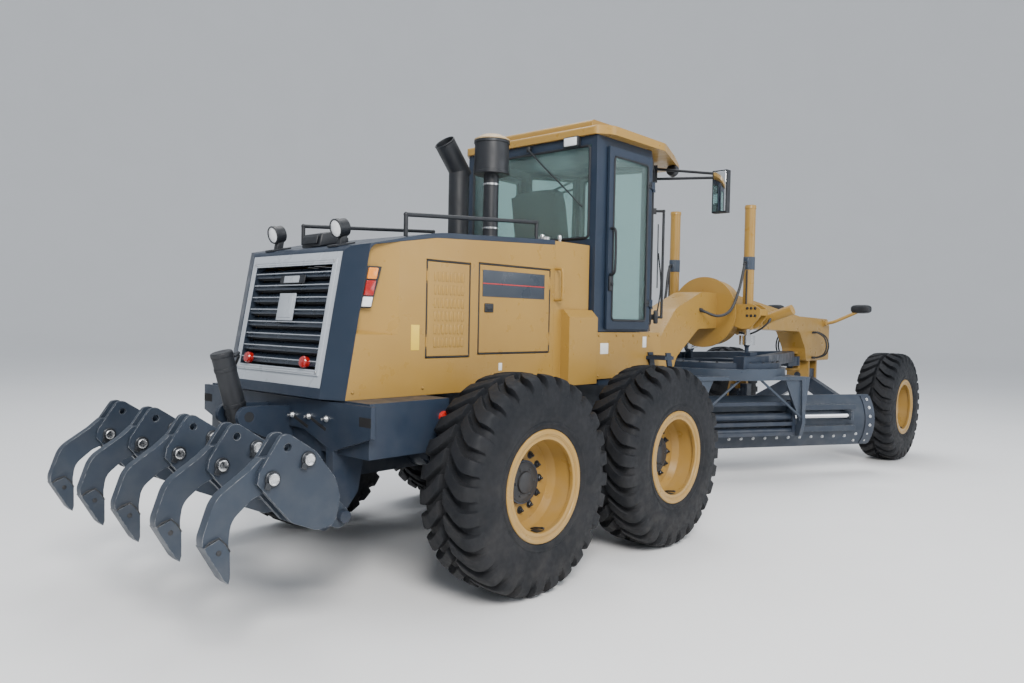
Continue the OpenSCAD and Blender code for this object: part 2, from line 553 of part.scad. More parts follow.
// Drawbar and its ball, circle, carrier and moldboard
circle_x = 4600;
circle_low = 1060;
circle_high = 1180;
drawbar_low = circle_high + pin_gap;
circle_bore = circle_r - 140;
module drawbar_ball() color(dark) {
  difference() {
    translate([ball_x, 0, ball_z]) sphere(r = 70);
    bar_y(ball_x, ball_z, -100, 100, 20 + pin_gap);
  }
  for (z = [ball_z - 130, ball_z + 50]) translate([ball_x, 0, z]) cylinder(h = 80, r = 40);
}
module drawbar() color(dark) {
  difference() {
    union() {
      translate([circle_x, 0, drawbar_low]) cylinder(h = 60, r = 720, $fn = fine);
      translate([circle_x, 0, 1106]) cylinder(h = drawbar_low - 1105, r = circle_bore - pin_gap, $fn = 96);
      box([shift_x + 72, 260, drawbar_low + 50], [shift_x + 98, 440, 1420]);
      bar([shift_x + 58, 350, 1370], [shift_x + 75, 350, 1370], 24);
      both_sides() translate([0, 0, drawbar_low]) linear_extrude(130)
        polygon([[circle_x - 500, 480], [circle_x - 500, 600], [circle_x + 100, 600], [ball_x - 120, 110], [ball_x - 120, 10], [ball_x - 300, 10], [circle_x + 100, 470]]);
      both_sides() {
        box([saddle_x - 80, 400, drawbar_low + 129], [saddle_x + 80, 540, 1350]);
        translate([saddle_x, lift_y, 1349]) cylinder(h = 66, r = 22);
        translate([saddle_x, lift_y, lift_ball]) sphere(r = 33);
      }
      translate([ball_x, 0, ball_z - 60]) cylinder(h = 120, r = 125);
      box([ball_x - 330, -120, ball_z - 60], [ball_x - 60, 120, ball_z + 60]);
    }
    translate([circle_x, 0, 1000]) cylinder(h = 400, r = 380, $fn = fine);
    translate([ball_x, 0, ball_z - 200]) cylinder(h = 400, r = 90);
  }
  translate([ball_x, 0, ball_z]) rotate([90, 0, 0]) cylinder(h = 200, r = 20, center = true);
}
module blade_frame() translate([circle_x, 0, 0]) rotate([0, 0, blade_turn]) children();
tilt_pivot = [-600, 500];
leg_y = 640;
module blade_circle() color(dark) blade_frame() {
  difference() {
    translate([0, 0, circle_low]) cylinder(h = circle_high - circle_low, r = circle_r, $fn = 96);
    translate([0, 0, circle_low - 1]) cylinder(h = 200, r = circle_bore, $fn = 96);
  }
  both_sides() difference() {
    union() {
      side_plate(outline([[-720, 1095, 0], [-520, 1095, 0], [-648, 880, 80], [-648, 575, 30], [-600, 555, 0],
        [-600, 445, 0], [-690, 445, 40], [-740, 600, 80]]), leg_y, 40);
      bar_y(tilt_pivot[0], tilt_pivot[1], leg_y, leg_y + 40, 56);
      cross_plate([[430, 1095], [760, 1095], [leg_y + 40, 600], [leg_y + 5, 600]], -700, 30);
    }
    bar_y(tilt_pivot[0], tilt_pivot[1], leg_y - 10, leg_y + 60, 30 + pin_gap);
  }
  box([-720, -leg_y - 40, circle_low], [-430, leg_y + 40, circle_low + 40]);
  both_sides() bar([-704, 110, circle_low + 18], [-704, leg_y + 16, 650], 13);
}
module blade_carrier() color(dark) blade_frame() {
  difference() {
    union() {
      bar_y(tilt_pivot[0], tilt_pivot[1], -leg_y - 40, leg_y + 40, 30);
      both_sides() {
        side_plate(outline([[-640, 440, 30], [-640, 830, 30], [rail_x - pin_gap, 830, 0], [rail_x - pin_gap, 440, 0]]),
          leg_y - 50, 40);
        for (z = rail_zs) {
          box([-560, leg_y - 50, z - rail_h / 2 - 20], [rail_x + 25, leg_y - 10, z - rail_h / 2 - pin_gap]);
          box([-560, leg_y - 50, z + rail_h / 2 + pin_gap], [rail_x + 25, leg_y - 10, z + rail_h / 2 + 20]);
        }
      }
      for (z = [450, 560, 780]) box([-640, -leg_y + 20, z], [-600, leg_y - 20, z + 40]);
      bar_y(slide_ram[0], slide_ram[1], 20 - leg_y, 520, 42);
    }
    bar_y(slide_ram[0], slide_ram[1], -700, 500, 25 + pin_gap);
  }
}
// Slide rails on the moldboard's back, and the cylinder that moves it along them
rail_x = -528;
rail_h = 60;
rail_zs = [500, 740];
slide_ram = [-575, 650];
mold_r = 430;
mold_t = 22;
module moldboard() color(dark) blade_frame() {
  intersection() {
    translate([mold_x, blade_l / 2, blade_z + blade_h / 2]) rotate([90, 0, 0]) difference() {
      cylinder(h = blade_l, r = mold_r, $fn = 96);
      translate([0, 0, -1]) cylinder(h = blade_l + 2, r = mold_r - mold_t, $fn = 96);
    }
    box([-600, -blade_l / 2, blade_z], [-300, blade_l / 2, blade_z + blade_h]);
  }
  difference() {
    for (z = rail_zs) box([rail_x, -blade_l / 2 + 300, z - rail_h / 2], [-400, blade_l / 2 - 300, z + rail_h / 2]);
    translate([mold_x, blade_l, blade_z + blade_h / 2]) rotate([90, 0, 0]) cylinder(h = 2 * blade_l, r = mold_r - 1, $fn = 96);
  }
  bar_y(slide_ram[0], slide_ram[1], -1420, -30, 25);
  box([-620, -1420, 600], [-470, -1390, 700]);
}
mold_x = -55;

// Cylinder that swings the drawbar sideways
shift_x = saddle_x + 190;
shift_cap = [shift_x, -880, 1820];
shift_eye = [shift_x, 350, 1370];
shift_dir = unit(shift_eye - shift_cap);
shift_pin = shift_cap + shift_dir * 385;
module shift_barrel() color(yellow) difference() {
  union() {
    bar(shift_cap, shift_cap + shift_dir * 690, 55);
    bar(shift_pin, shift_pin - [90, 0, 0], 25);
  }
  bar(shift_cap + shift_dir * 40, shift_cap + shift_dir * 800, 28 + pin_gap);
}
module shift_rod() color("silver") {
  bar(shift_cap + shift_dir * 240, shift_eye - shift_dir * 25, 28);
  bar(shift_eye - [33, 0, 0], shift_eye + [33, 0, 0], 50);
}

// Front axle with leaning wheels
lean_y = 690;
lean_z = 560;
king_y = 850;
module front_axle() color(dark) {
  box([7010, -130, axle_pin_z - 130], [7204, 130, axle_pin_z + 90]);
  bar([6962, 0, axle_pin_z], [7252, 0, axle_pin_z], 45);
  both_sides() {
    cross_plate([[0, axle_pin_z - 130], [0, axle_pin_z + 60], [lean_y - 70, lean_z + 110], [lean_y - 70, lean_z - 60],
      [lean_y - 160, lean_z - 60]], front_axle_x - 70, 140);
    difference() {
      union() {
        bar([front_axle_x - 30, lean_y, lean_z], [front_axle_x + 30, lean_y, lean_z], 60);
        box([front_axle_x - 30, lean_y - 80, lean_z - 60], [front_axle_x + 30, lean_y, lean_z + 60]);
      }
      bar([front_axle_x - 40, lean_y, lean_z], [front_axle_x + 40, lean_y, lean_z], 30 + pin_gap);
    }
  }
}
king_low = 470;
king_high = 800;
king_r = 28;
module lean_bracket(side) color(dark) on_side(side) difference() {
  union() {
    bar([front_axle_x - 70, lean_y, lean_z], [front_axle_x + 70, lean_y, lean_z], 30);
    for (x = [front_axle_x - 70, front_axle_x + 36]) {
      bar([x, lean_y, lean_z], [x + 34, lean_y, lean_z], 52);
      box([x, lean_y, lean_z - 52], [x + 34, lean_y + 80, lean_z + 52]);
    }
    box([front_axle_x - 70, lean_y + 70, king_low], [front_axle_x + 70, king_y - 55, king_high]);
    for (z = [king_low, king_high - 40]) {
      box([front_axle_x - 45, king_y - 60, z], [front_axle_x + 45, king_y, z + 40]);
      translate([front_axle_x, king_y, z]) cylinder(h = 40, r = 45);
    }
  }
  translate([front_axle_x, king_y, king_low - 10]) cylinder(h = 400, r = king_r + pin_gap);
}
module knuckle(side) color(dark) on_side(side) {
  translate([front_axle_x, king_y, king_low]) cylinder(h = king_high - king_low, r = king_r);
  translate([front_axle_x, king_y, king_low + 40 + move_gap])
    cylinder(h = king_high - king_low - 80 - 2 * move_gap, r = 45);
  bar_y(front_axle_x, hub_z, king_y, king_y + 90, 40);
  bar_y(front_axle_x, hub_z, king_y + 60, wheel_y, spindle_r);
  bar_y(front_axle_x, hub_z, wheel_y + dish_y - 80, wheel_y + dish_y + 40, hub_r);
}

// Ripper: carrier with twin plates, shanks and cylinder
plate_rows = [[-1716, 908, 0], [-1602, 1073, 30], [-1560, 1078, 30], [-1408, 978, 60], [-1290, 830, 100], [-1258, 730, 90],
  [-1290, 590, 60], [-1400, 580, 80], [-1540, 642, 60], [-1726, 854, 0]];
function shank_y(i) = (i - (shank_n - 1) / 2) * shank_pitch;
cheek_t = 25;
pin_half = 68;            // half the length of a shank's pin
module ripper_carrier() color(dark) {
  for (i = [0:shank_n - 1]) for (s = [-1, 1])
    difference() {
      side_plate(outline(plate_rows), shank_y(i) + (s > 0 ? shank_t / 2 + 3 : -shank_t / 2 - 3 - cheek_t), cheek_t);
      bar_y(spare_hole[0], spare_hole[1], shank_y(i) - 80, shank_y(i) + 80, spare_r);
    }
  for (i = [0:shank_n - 1], p = shank_pins) bar_y(p[0], p[1], shank_y(i) - pin_half, shank_y(i) + pin_half, 24);
  bar_y(-1400, 740, shank_y(0) - 40, shank_y(shank_n - 1) + 40, 85);
  both_sides() difference() {
    side_plate(outline([[-1400, 830, 0], [-1400, 660, 0], [-1000, 440, 60], [-920, 520, 60], [-1000, 600, 60]]), 610, 50);
    bar_y(ripper_pivot[0], ripper_pivot[1], 500, 720, 35 + pin_gap);
  }
  both_sides() side_plate(outline([[-1400, 810, 0], [-1400, 670, 0], [-1170, 640, 55], [-1110, 700, 55], [-1170, 760, 55]]), 48, 22);
  bar_y(ram_foot[0], ram_foot[1], -60, 60, 24);
}
shank_rows = [[-1690, 970, 0], [-1752, 918, 0], [-1919, 810, 150], [-1981, 634, 90], [-1973, 597, 0], [-1877, 438, 0], [-1857, 412, 0],
  [-1850, 440, 0], [-1852, 616, 0], [-1840, 700, 100], [-1740, 780, 80], [-1560, 850, 0], [-1430, 890, 30], [-1430, 975, 30]];
shank_pins = [[-1650, 871], [-1454, 943]];
spare_hole = [-1567, 1012];
spare_r = 20;
tip_rows = [[-1975, 600], [-1880, 436], [-1857, 412], [-1849, 440], [-1850, 560], [-1895, 632]];
tip_t = shank_t + 22;
module ripper_shanks() color(dark) for (i = [0:shank_n - 1]) {
  difference() {
    side_plate(outline(shank_rows), shank_y(i) - shank_t / 2, shank_t);
    for (p = shank_pins) bar_y(p[0], p[1], shank_y(i) - 100, shank_y(i) + 100, 24 + pin_gap);
  }
  side_plate(tip_rows, shank_y(i) - tip_t / 2, tip_t);
}
ram_foot = [-1170, 700];
ram_dir = unit(ram_foot - trunnion);
function ram_at(t) = [trunnion[0] + ram_dir[0] * t, 0, trunnion[1] + ram_dir[1] * t];
module ripper_barrel() color(dark) difference() {
  union() {
    bar(ram_at(-390), ram_at(112), 62);
    bar_y(trunnion[0], trunnion[1], -134, 134, 30);
  }
  bar(ram_at(-300), ram_at(160), 32 + pin_gap);
}
module ripper_rod() color("silver") {
  difference() {
    union() {
      bar(ram_at(-200), ram_at(330), 32);
      bar_y(ram_foot[0], ram_foot[1], -40, 40, 60);
    }
    bar_y(ram_foot[0], ram_foot[1], -60, 60, 43);
  }
}

// Articulation cylinders
hitch_ram_pin = [2060, 560, 950];
hitch_ram_eye = [3060, 300, 950];
hitch_ram_dir = unit(hitch_ram_eye - hitch_ram_pin);
module hitch_barrel(side) color(dark) on_side(side) difference() {
  union() {
    bar(hitch_ram_pin + hitch_ram_dir * 40, hitch_ram_pin + hitch_ram_dir * 720, 48);
    translate(hitch_ram_pin - [0, 0, 51]) cylinder(h = 102, r = 58);
  }
  translate(hitch_ram_pin - [0, 0, 60]) cylinder(h = 120, r = 25 + pin_gap);
  bar(hitch_ram_pin + hitch_ram_dir * 120, hitch_ram_pin + hitch_ram_dir * 800, 26 + pin_gap);
}
module hitch_rod(side) color("silver") on_side(side) difference() {
  union() {
    bar(hitch_ram_pin + hitch_ram_dir * 420, hitch_ram_eye, 26);
    translate(hitch_ram_eye - [0, 0, 28]) cylinder(h = 56, r = 62);
  }
  translate(hitch_ram_eye - [0, 0, 60]) cylinder(h = 120, r = 46);
}

at_origin() rear_frame();
at_origin() engine_block();
at_origin() hood_cap();
at_origin() hood_side_panels();  // hood_sides
at_origin() rear_grille();
at_origin() side_panels();
at_origin() cab_frame();
at_origin() cab_roof();
at_origin() cab_glass();
at_origin() cab_interior();
at_origin() exhaust();
at_origin() rails_and_mirrors();
at_origin() rear_lamps();
at_origin() cab_door(RIGHT);  // cab_door_right
at_origin() cab_door(LEFT);  // cab_door_left
at_origin() hood_door(louvre_door, louvre_door[0], -1, RIGHT);  // louvre_door_right
at_origin() hood_door(louvre_door, louvre_door[0], -1, LEFT);  // louvre_door_left
at_origin() hood_door(engine_door, engine_door[1], 1, RIGHT);  // engine_door_right
at_origin() hood_door(engine_door, engine_door[1], 1, LEFT);  // engine_door_left
at_origin() tandem(RIGHT);  // tandem_right
at_origin() tandem(LEFT);  // tandem_left
at_origin() tyre(0, RIGHT);  // tyre_rear_right
at_origin() rim(0, RIGHT);  // rim_rear_right
at_origin() tyre(0, LEFT);  // tyre_rear_left
at_origin() rim(0, LEFT);  // rim_rear_left
at_origin() tyre(mid_x, RIGHT);  // tyre_mid_right
at_origin() rim(mid_x, RIGHT);  // rim_mid_right
at_origin() tyre(mid_x, LEFT);  // tyre_mid_left
at_origin() rim(mid_x, LEFT);  // rim_mid_left
at_origin() tyre(front_axle_x, RIGHT);  // tyre_front_right
at_origin() rim(front_axle_x, RIGHT);  // rim_front_right
at_origin() tyre(front_axle_x, LEFT);  // tyre_front_left
at_origin() rim(front_axle_x, LEFT);  // rim_front_left
at_origin() front_frame();
at_origin() head_lamps();
at_origin() drawbar_ball();
at_origin() drawbar();
at_origin() blade_circle();  // circle
at_origin() blade_carrier();
at_origin() moldboard();
at_origin() lift_barrel(RIGHT);  // lift_barrel_right
at_origin() lift_barrel(LEFT);  // lift_barrel_left
at_origin() lift_rod(RIGHT);  // lift_rod_right
at_origin() lift_rod(LEFT);  // lift_rod_left
at_origin() shift_barrel();
at_origin() shift_rod();
at_origin() front_axle();
at_origin() lean_bracket(RIGHT);  // lean_bracket_right
at_origin() lean_bracket(LEFT);  // lean_bracket_left
at_origin() knuckle(RIGHT);  // knuckle_right
at_origin() knuckle(LEFT);  // knuckle_left
at_origin() ripper_carrier();
at_origin() ripper_shanks();
at_origin() ripper_barrel();
at_origin() ripper_rod();
at_origin() hitch_barrel(RIGHT);  // hitch_barrel_right
at_origin() hitch_barrel(LEFT);  // hitch_barrel_left
at_origin() hitch_rod(RIGHT);  // hitch_rod_right
at_origin() hitch_rod(LEFT);  // hitch_rod_left
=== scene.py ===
# %% [markdown]
# # A motor grader, dressed
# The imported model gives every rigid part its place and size. This lesson adds a camera, a floor, soft
# light, the finishes and the small surfaces that a mechanical model leaves out. Each shape is worked out
# with numpy as a grid of points, so the formula that makes it can be read and changed.

import math

import bpy
import numpy as np
from mathutils import Matrix, Vector


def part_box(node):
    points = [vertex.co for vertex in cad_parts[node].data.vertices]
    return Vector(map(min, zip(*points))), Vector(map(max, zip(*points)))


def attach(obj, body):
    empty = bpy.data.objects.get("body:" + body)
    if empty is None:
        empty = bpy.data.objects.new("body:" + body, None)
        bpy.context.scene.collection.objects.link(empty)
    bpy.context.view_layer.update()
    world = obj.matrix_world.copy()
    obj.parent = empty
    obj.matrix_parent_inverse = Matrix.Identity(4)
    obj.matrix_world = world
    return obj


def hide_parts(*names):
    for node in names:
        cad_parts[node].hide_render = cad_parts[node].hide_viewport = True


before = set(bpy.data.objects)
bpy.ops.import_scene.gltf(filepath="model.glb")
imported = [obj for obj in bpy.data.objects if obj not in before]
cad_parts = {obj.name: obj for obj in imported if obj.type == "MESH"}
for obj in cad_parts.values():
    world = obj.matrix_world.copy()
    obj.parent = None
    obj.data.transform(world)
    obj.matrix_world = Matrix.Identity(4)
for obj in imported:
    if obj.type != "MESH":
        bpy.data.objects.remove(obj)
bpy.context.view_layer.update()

# %% [markdown]
# ## The camera
# The photograph was taken by a person standing behind the machine's right rear corner. The camera's
# place and turn could be set by eye, but then no edge would lie where the picture has it. They come from
# matching known points of the machine to the picture: 1.67 m above the ground, looking 42 degrees off the
# machine's length, with a wide lens.

# %% Camera
eye = Vector((-6.570, -4.350, 1.667))
yaw, pitch, roll = (math.radians(a) for a in (42.10, -1.502, 1.129))
ahead = Vector((math.cos(yaw) * math.cos(pitch), math.sin(yaw) * math.cos(pitch), math.sin(pitch)))
level = Vector((math.sin(yaw), -math.cos(yaw), 0))
upright = level.cross(ahead)
across = math.cos(roll) * level + math.sin(roll) * upright
above = -math.sin(roll) * level + math.cos(roll) * upright
lens = bpy.data.cameras.new("camera")
lens.sensor_width, lens.lens = 36, 27.89
lens.clip_end = 300
camera = bpy.data.objects.new("camera", lens)
camera.matrix_world = Matrix.Translation(eye) @ Matrix((across, above, -ahead)).transposed().to_4x4()
bpy.context.scene.collection.objects.link(camera)
bpy.context.scene.camera = camera
print("camera at", tuple(round(v, 3) for v in eye))

# %% [markdown]
# ## Nodes for finishes
# Paint, dust and worn edges could come from pictures wrapped round the pieces. Shader nodes are used
# instead, because they need no unwrapping and their numbers can be read and changed. One helper adds a node
# and feeds its sockets, and three short ones name the steps that every finish takes.


# %% Node helpers
def add_node(tree, kind, sockets, output=0, **settings):
    """A shader node. Each named or numbered socket takes a value, or is linked to another node's output."""
    made = tree.nodes.new("ShaderNode" + kind)
    for name, value in settings.items():
        setattr(made, name, value)
    for name, given in sockets.items():
        if isinstance(given, bpy.types.NodeSocket):
            tree.links.new(given, made.inputs[name])
        elif given is not None:
            made.inputs[name].default_value = given
    return made.outputs[output]


def mixed(tree, share, first, other):
    """Two colours mixed: none of the other at a share of 0, and nothing else at 1."""
    return add_node(tree, "Mix", {0: share, 6: first, 7: other}, 2, data_type="RGBA")


def spread(tree, value, low, high, to_low=0.0, to_high=1.0):
    """A straight line that takes low to to_low and high to to_high, and is level beyond them."""
    return add_node(tree, "MapRange", {"Value": value, "From Min": low, "From Max": high, "To Min": to_low,
                                       "To Max": to_high}, "Result")


def maths(tree, operation, first, second=None):
    """One arithmetic step on one value or two."""
    return add_node(tree, "Math", {0: first, 1: second}, operation=operation)


print("node helpers: add_node, mixed, spread, maths")

# %% [markdown]
# ## Finishes
# A finish is a small node tree on Blender's own surface shader. Each one reads the place on the object in
# metres, so that the grain keeps its real size on every piece. Two noises of different size change the
# colour a little, as dust and age do, and a fine one gives the roughness and bump of real paint or rubber.
# Where paint wears through on edges, a bevel node tells how far the softened normal leans from the true
# one: only near an edge do the two differ.


# %% Finish helper
def finish(name, colour, second=None, patch=1.6, amount=0.35, rough=0.45, rough_swing=0.12, metal=0.0,
           bump=0.0, bump_scale=220.0, wear=None, wear_reach=0.006, soft_edge=0.0, dust=0.0, coat=0.0,
           gloss=0.5):
    """A node material: two colours mixed by a noise, dust low down, optional worn edges and fine bump."""
    made = bpy.data.materials.new(name)
    made.use_nodes = True
    made.diffuse_color = (*colour, 1)
    tree = made.node_tree
    shader = tree.nodes["Principled BSDF"]
    for socket, value in (("Metallic", metal), ("Coat Weight", coat), ("Coat Roughness", 0.12),
                          ("Specular IOR Level", gloss)):
        shader.inputs[socket].default_value = value
    place = add_node(tree, "TexCoord", {}, "Object")

    def noise(scale, detail=4.0):
        return add_node(tree, "TexNoise", {"Scale": scale, "Detail": detail, "Vector": place}, "Fac")

    second = second or tuple(c * 0.72 for c in colour)
    tone = mixed(tree, spread(tree, noise(patch), 0.38, 0.66, 0.0, amount), (*colour, 1), (*second, 1))
    if dust:
        low = spread(tree, add_node(tree, "SeparateXYZ", {0: place}, "Z"), 1.3, 0.1, 0.0, dust)
        speck = spread(tree, noise(9.0, 8.0), 0.42, 0.68, 0.25, 1.0)
        tone = mixed(tree, maths(tree, "MULTIPLY", low, speck), tone, (0.30, 0.27, 0.235, 1))
    normal = None
    if wear or soft_edge:
        reach = max(soft_edge, wear_reach if wear else 0)
        normal = add_node(tree, "Bevel", {"Radius": reach}, samples=4)
    if wear:
        true = add_node(tree, "NewGeometry", {}, "Normal")
        agree = add_node(tree, "VectorMath", {0: normal, 1: true}, "Value", operation="DOT_PRODUCT")
        ragged = spread(tree, noise(38.0, 8.0), 0.40, 0.58)
        bare = maths(tree, "MULTIPLY", spread(tree, agree, 0.985, 0.86), ragged)
        tone = mixed(tree, bare, tone, (*wear, 1))
    tree.links.new(tone, shader.inputs["Base Color"])
    roughness = spread(tree, noise(patch * 6, 6.0), 0.3, 0.7, rough - rough_swing, rough + rough_swing)
    tree.links.new(roughness, shader.inputs["Roughness"])
    if bump:
        grain = noise(bump_scale, 3.0)
        normal = add_node(tree, "Bump", {"Strength": bump, "Distance": 0.002, "Height": grain,
                                         "Normal": normal})
    if normal:
        tree.links.new(normal, shader.inputs["Normal"])
    return made


print("finish helper ready")

# %% [markdown]
# ## The machine's finishes
# The body wears a gold-ochre enamel, the frame and cab a slate one, the working steel is scuffed bare on
# its edges, and the rubber is dusty low down. Polished rods, glass, plastic and lamp lenses follow.

# %% Finishes
gold_enamel = finish("gold_enamel", (0.345, 0.205, 0.048), (0.290, 0.165, 0.036), amount=0.5, rough=0.36,
                     bump=0.04, bump_scale=60, soft_edge=0.006, dust=0.20, coat=0.12, gloss=0.35)
slate_enamel = finish("slate_enamel", (0.018, 0.029, 0.050), (0.012, 0.020, 0.036), amount=0.6, rough=0.40,
                      bump=0.05, bump_scale=70, soft_edge=0.005, dust=0.14, coat=0.08, gloss=0.35)
scuffed_steel = finish("scuffed_steel", (0.030, 0.043, 0.064), (0.018, 0.026, 0.040), amount=0.7, rough=0.45,
                       bump=0.12, bump_scale=90, wear=(0.30, 0.31, 0.32), wear_reach=0.005, dust=0.12,
                       gloss=0.3)
dull_black = finish("dull_black", (0.010, 0.012, 0.016), (0.018, 0.020, 0.024), rough=0.50, bump=0.12,
                    soft_edge=0.004, dust=0.10)
tyre_rubber = finish("tyre_rubber", (0.0065, 0.0080, 0.011), (0.015, 0.016, 0.019), patch=5, amount=0.7,
                     rough=0.66, bump=0.28, bump_scale=160, soft_edge=0.008, dust=0.06, gloss=0.22)
polished_rod = finish("polished_rod", (0.78, 0.79, 0.80), (0.70, 0.71, 0.72), rough=0.14, rough_swing=0.05,
                      metal=1.0)
silver_enamel = finish("silver_enamel", (0.36, 0.395, 0.44), (0.30, 0.33, 0.37), rough=0.32, coat=0.2,
                       bump=0.03, soft_edge=0.004)
seat_cloth = finish("seat_cloth", (0.022, 0.024, 0.030), rough=0.85, bump=0.4, bump_scale=900)
gun_metal = finish("gun_metal", (0.045, 0.049, 0.056), rough=0.38, metal=0.7, bump=0.05, soft_edge=0.001)
bright_bolt = finish("bright_bolt", (0.60, 0.61, 0.62), (0.46, 0.46, 0.45), patch=12, rough=0.30, metal=1.0,
                     soft_edge=0.0012)
wire_screen = finish("wire_screen", (0.010, 0.011, 0.013), (0.030, 0.031, 0.034), patch=160, amount=0.8,
                     rough=0.6, bump=0.5, bump_scale=500)
red_lens = finish("red_lens", (0.34, 0.010, 0.008), (0.24, 0.006, 0.006), patch=30, rough=0.16, coat=0.8)
amber_lens = finish("amber_lens", (0.80, 0.26, 0.015), (0.66, 0.18, 0.010), patch=30, rough=0.16, coat=0.8)
clear_lens = finish("clear_lens", (0.80, 0.82, 0.84), (0.62, 0.65, 0.68), patch=40, rough=0.14, coat=0.8)
band_film = finish("band_film", (0.030, 0.040, 0.056), rough=0.35)
red_line = finish("red_line", (0.52, 0.022, 0.016), rough=0.35)
label_yellow = finish("label_yellow", (0.74, 0.50, 0.045), rough=0.40)
label_white = finish("label_white", (0.76, 0.76, 0.73), rough=0.45)
mirror_face = finish("mirror_face", (0.80, 0.82, 0.84), (0.78, 0.80, 0.82), rough=0.06, rough_swing=0.02,
                     metal=1.0)
deep_shadow = finish("deep_shadow", (0.005, 0.005, 0.006), rough=0.9)
hose_rubber = finish("hose_rubber", (0.016, 0.017, 0.019), (0.030, 0.031, 0.033), patch=20, rough=0.50,
                     bump=0.2, bump_scale=700)
tan_plastic = finish("tan_plastic", (0.42, 0.31, 0.17), rough=0.45)
ring_enamel = finish("ring_enamel", (0.040, 0.056, 0.082), (0.026, 0.038, 0.058), amount=0.7, rough=0.38,
                     bump=0.06, bump_scale=80, wear=(0.25, 0.26, 0.28), wear_reach=0.004, dust=0.15,
                     gloss=0.4)
print("finishes", len(bpy.data.materials))

# %% [markdown]
# ## Tinted glass
# Cab glass is a thin sheet with a faint green tint. Glass's own index of 1.5 would bend the view as a lens
# does where a pane is one closed body, so an index near one is used. The sheet keeps its gloss, and both
# the sky and the cab's inside show.

# %% Glass
cab_tint = bpy.data.materials.new("cab_tint")
cab_tint.use_nodes = True
cab_tint.diffuse_color = (0.45, 0.62, 0.60, 0.35)
pane = cab_tint.node_tree.nodes["Principled BSDF"]
for socket, value in (("Base Color", (0.62, 0.80, 0.78, 1)), ("Roughness", 0.03),
                      ("Transmission Weight", 0.92), ("IOR", 1.12)):
    pane.inputs[socket].default_value = value
print("glass tint", tuple(pane.inputs["Base Color"].default_value)[:3])

# %% [markdown]
# ## Places on the machine
# A mechanic measures from an axle, not from a model's origin. The rear axle is found from its rim, and
# every place below is given in metres: ahead of that axle, left of the machine's middle, and upwards from
# a level 0.65 m below the hubs.

# %% Places
hub_height = 0.650
low, high = (np.array(corner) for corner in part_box("rim_rear_right"))
start = np.array([(low[0] + high[0]) / 2, 0, (low[2] + high[2]) / 2 - hub_height])
sides = {"right": -1, "left": 1}


def at(x, y, z):
    """Places ahead, left and up from the rear axle, as points of the model. Arrays work too."""
    return np.stack(np.broadcast_arrays(x, y, z), -1) + start


def places(rows, s=1):
    """Rows of (ahead, left, up) as points of the model; an s of -1 mirrors them to the right."""
    return at(*(np.array(rows) * [1, s, 1]).T)


print("rear axle at", start.round(3))

# %% [markdown]
# ## Shells
# Nearly every piece below is a function of two parameters, u and v, evaluated on a grid of points. A shell
# numbers the points row by row and joins neighbours into quads. Where it is closed it is turned so that
# its faces look outwards, which its signed volume tells. A piece is one or more shells in one finish. It
# stays where its points are, so its object needs no place of its own.


# %% Shell helpers
def shell(points, close_u=False, close_v=True, caps=True):
    """Quads over points[u, v, xyz]; caps close the first and the last row of a tube."""
    nu, nv = points.shape[:2]
    a, b = np.meshgrid(np.arange(nu if close_u else nu - 1), np.arange(nv if close_v else nv - 1),
                       indexing="ij")
    a2, b2 = (a + 1) % nu, (b + 1) % nv
    quads = np.stack([a * nv + b, a2 * nv + b, a2 * nv + b2, a * nv + b2], -1).reshape(-1, 4)
    flat = points.reshape(-1, 3)
    p, q, r, s = ((flat - flat.mean(0))[quads[:, i]] for i in range(4))
    volume = (np.cross(p, q) * r).sum() + (np.cross(p, r) * s).sum()
    faces = quads.tolist()
    if caps and not close_u:
        faces += [np.arange(nv).tolist(), (np.arange(nv)[::-1] + (nu - 1) * nv).tolist()]
    return flat, [face[::-1] for face in faces] if volume < 0 else faces


def put(name, shells, worn, body="root", sharp=32):
    """One piece made of shells, smooth but for edges sharper than a limit. It rides on a body, if given."""
    points, faces, first = [], [], 0
    for flat, quads in shells:
        points.append(flat)
        faces += [[i + first for i in face] for face in quads]
        first += len(flat)
    mesh = bpy.data.meshes.new(name)
    mesh.from_pydata(np.concatenate(points).tolist(), [], faces)
    mesh.polygons.foreach_set("use_smooth", np.ones(len(mesh.polygons), bool))
    mesh.update()
    mesh.set_sharp_from_angle(angle=math.radians(sharp))
    mesh.materials.append(worn)
    piece = bpy.data.objects.new(name, mesh)
    bpy.context.scene.collection.objects.link(piece)
    if body:
        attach(piece, body)
    return piece


print("helpers: shell, put")

# %% [markdown]
# ## Generators
# Turned parts come from a profile carried round an axis. Hoses and rods come from a circle carried along a
# path; the circle's frame turns with the path's direction, seen from the plane that the path lies closest
# to. Housings and lenses come from a block with rounded edges, given by a corner and three edge vectors,
# so that it may lean. A brick is a block along the machine, and a card is one that lies on its side.
# Modifiers could spin and sweep the same shapes, but as formulas they can be placed by numbers alone.


# %% Generators
def unit(v):
    """The vector divided by its length, row by row."""
    v = np.asarray(v, float)
    return v / np.linalg.norm(v, axis=-1, keepdims=True)


def lathe(profile, centre, axis, n=40, turn=0.0, ring=False):
    """Turned part: each row of the profile is (distance along the axis, radius). A ring's profile closes on
    itself, so that its middle stays open."""
    along, radius = np.array(profile, float).T
    axis = unit(axis)
    side = unit(np.cross(axis, [0, 0, 1] if abs(axis[2]) < 0.9 else [1, 0, 0]))
    angle = np.linspace(0, 2 * np.pi, n, endpoint=False) + turn
    circle = np.outer(np.cos(angle), side) + np.outer(np.sin(angle), np.cross(axis, side))
    return shell(centre + along[:, None, None] * axis + radius[:, None, None] * circle, close_u=ring)


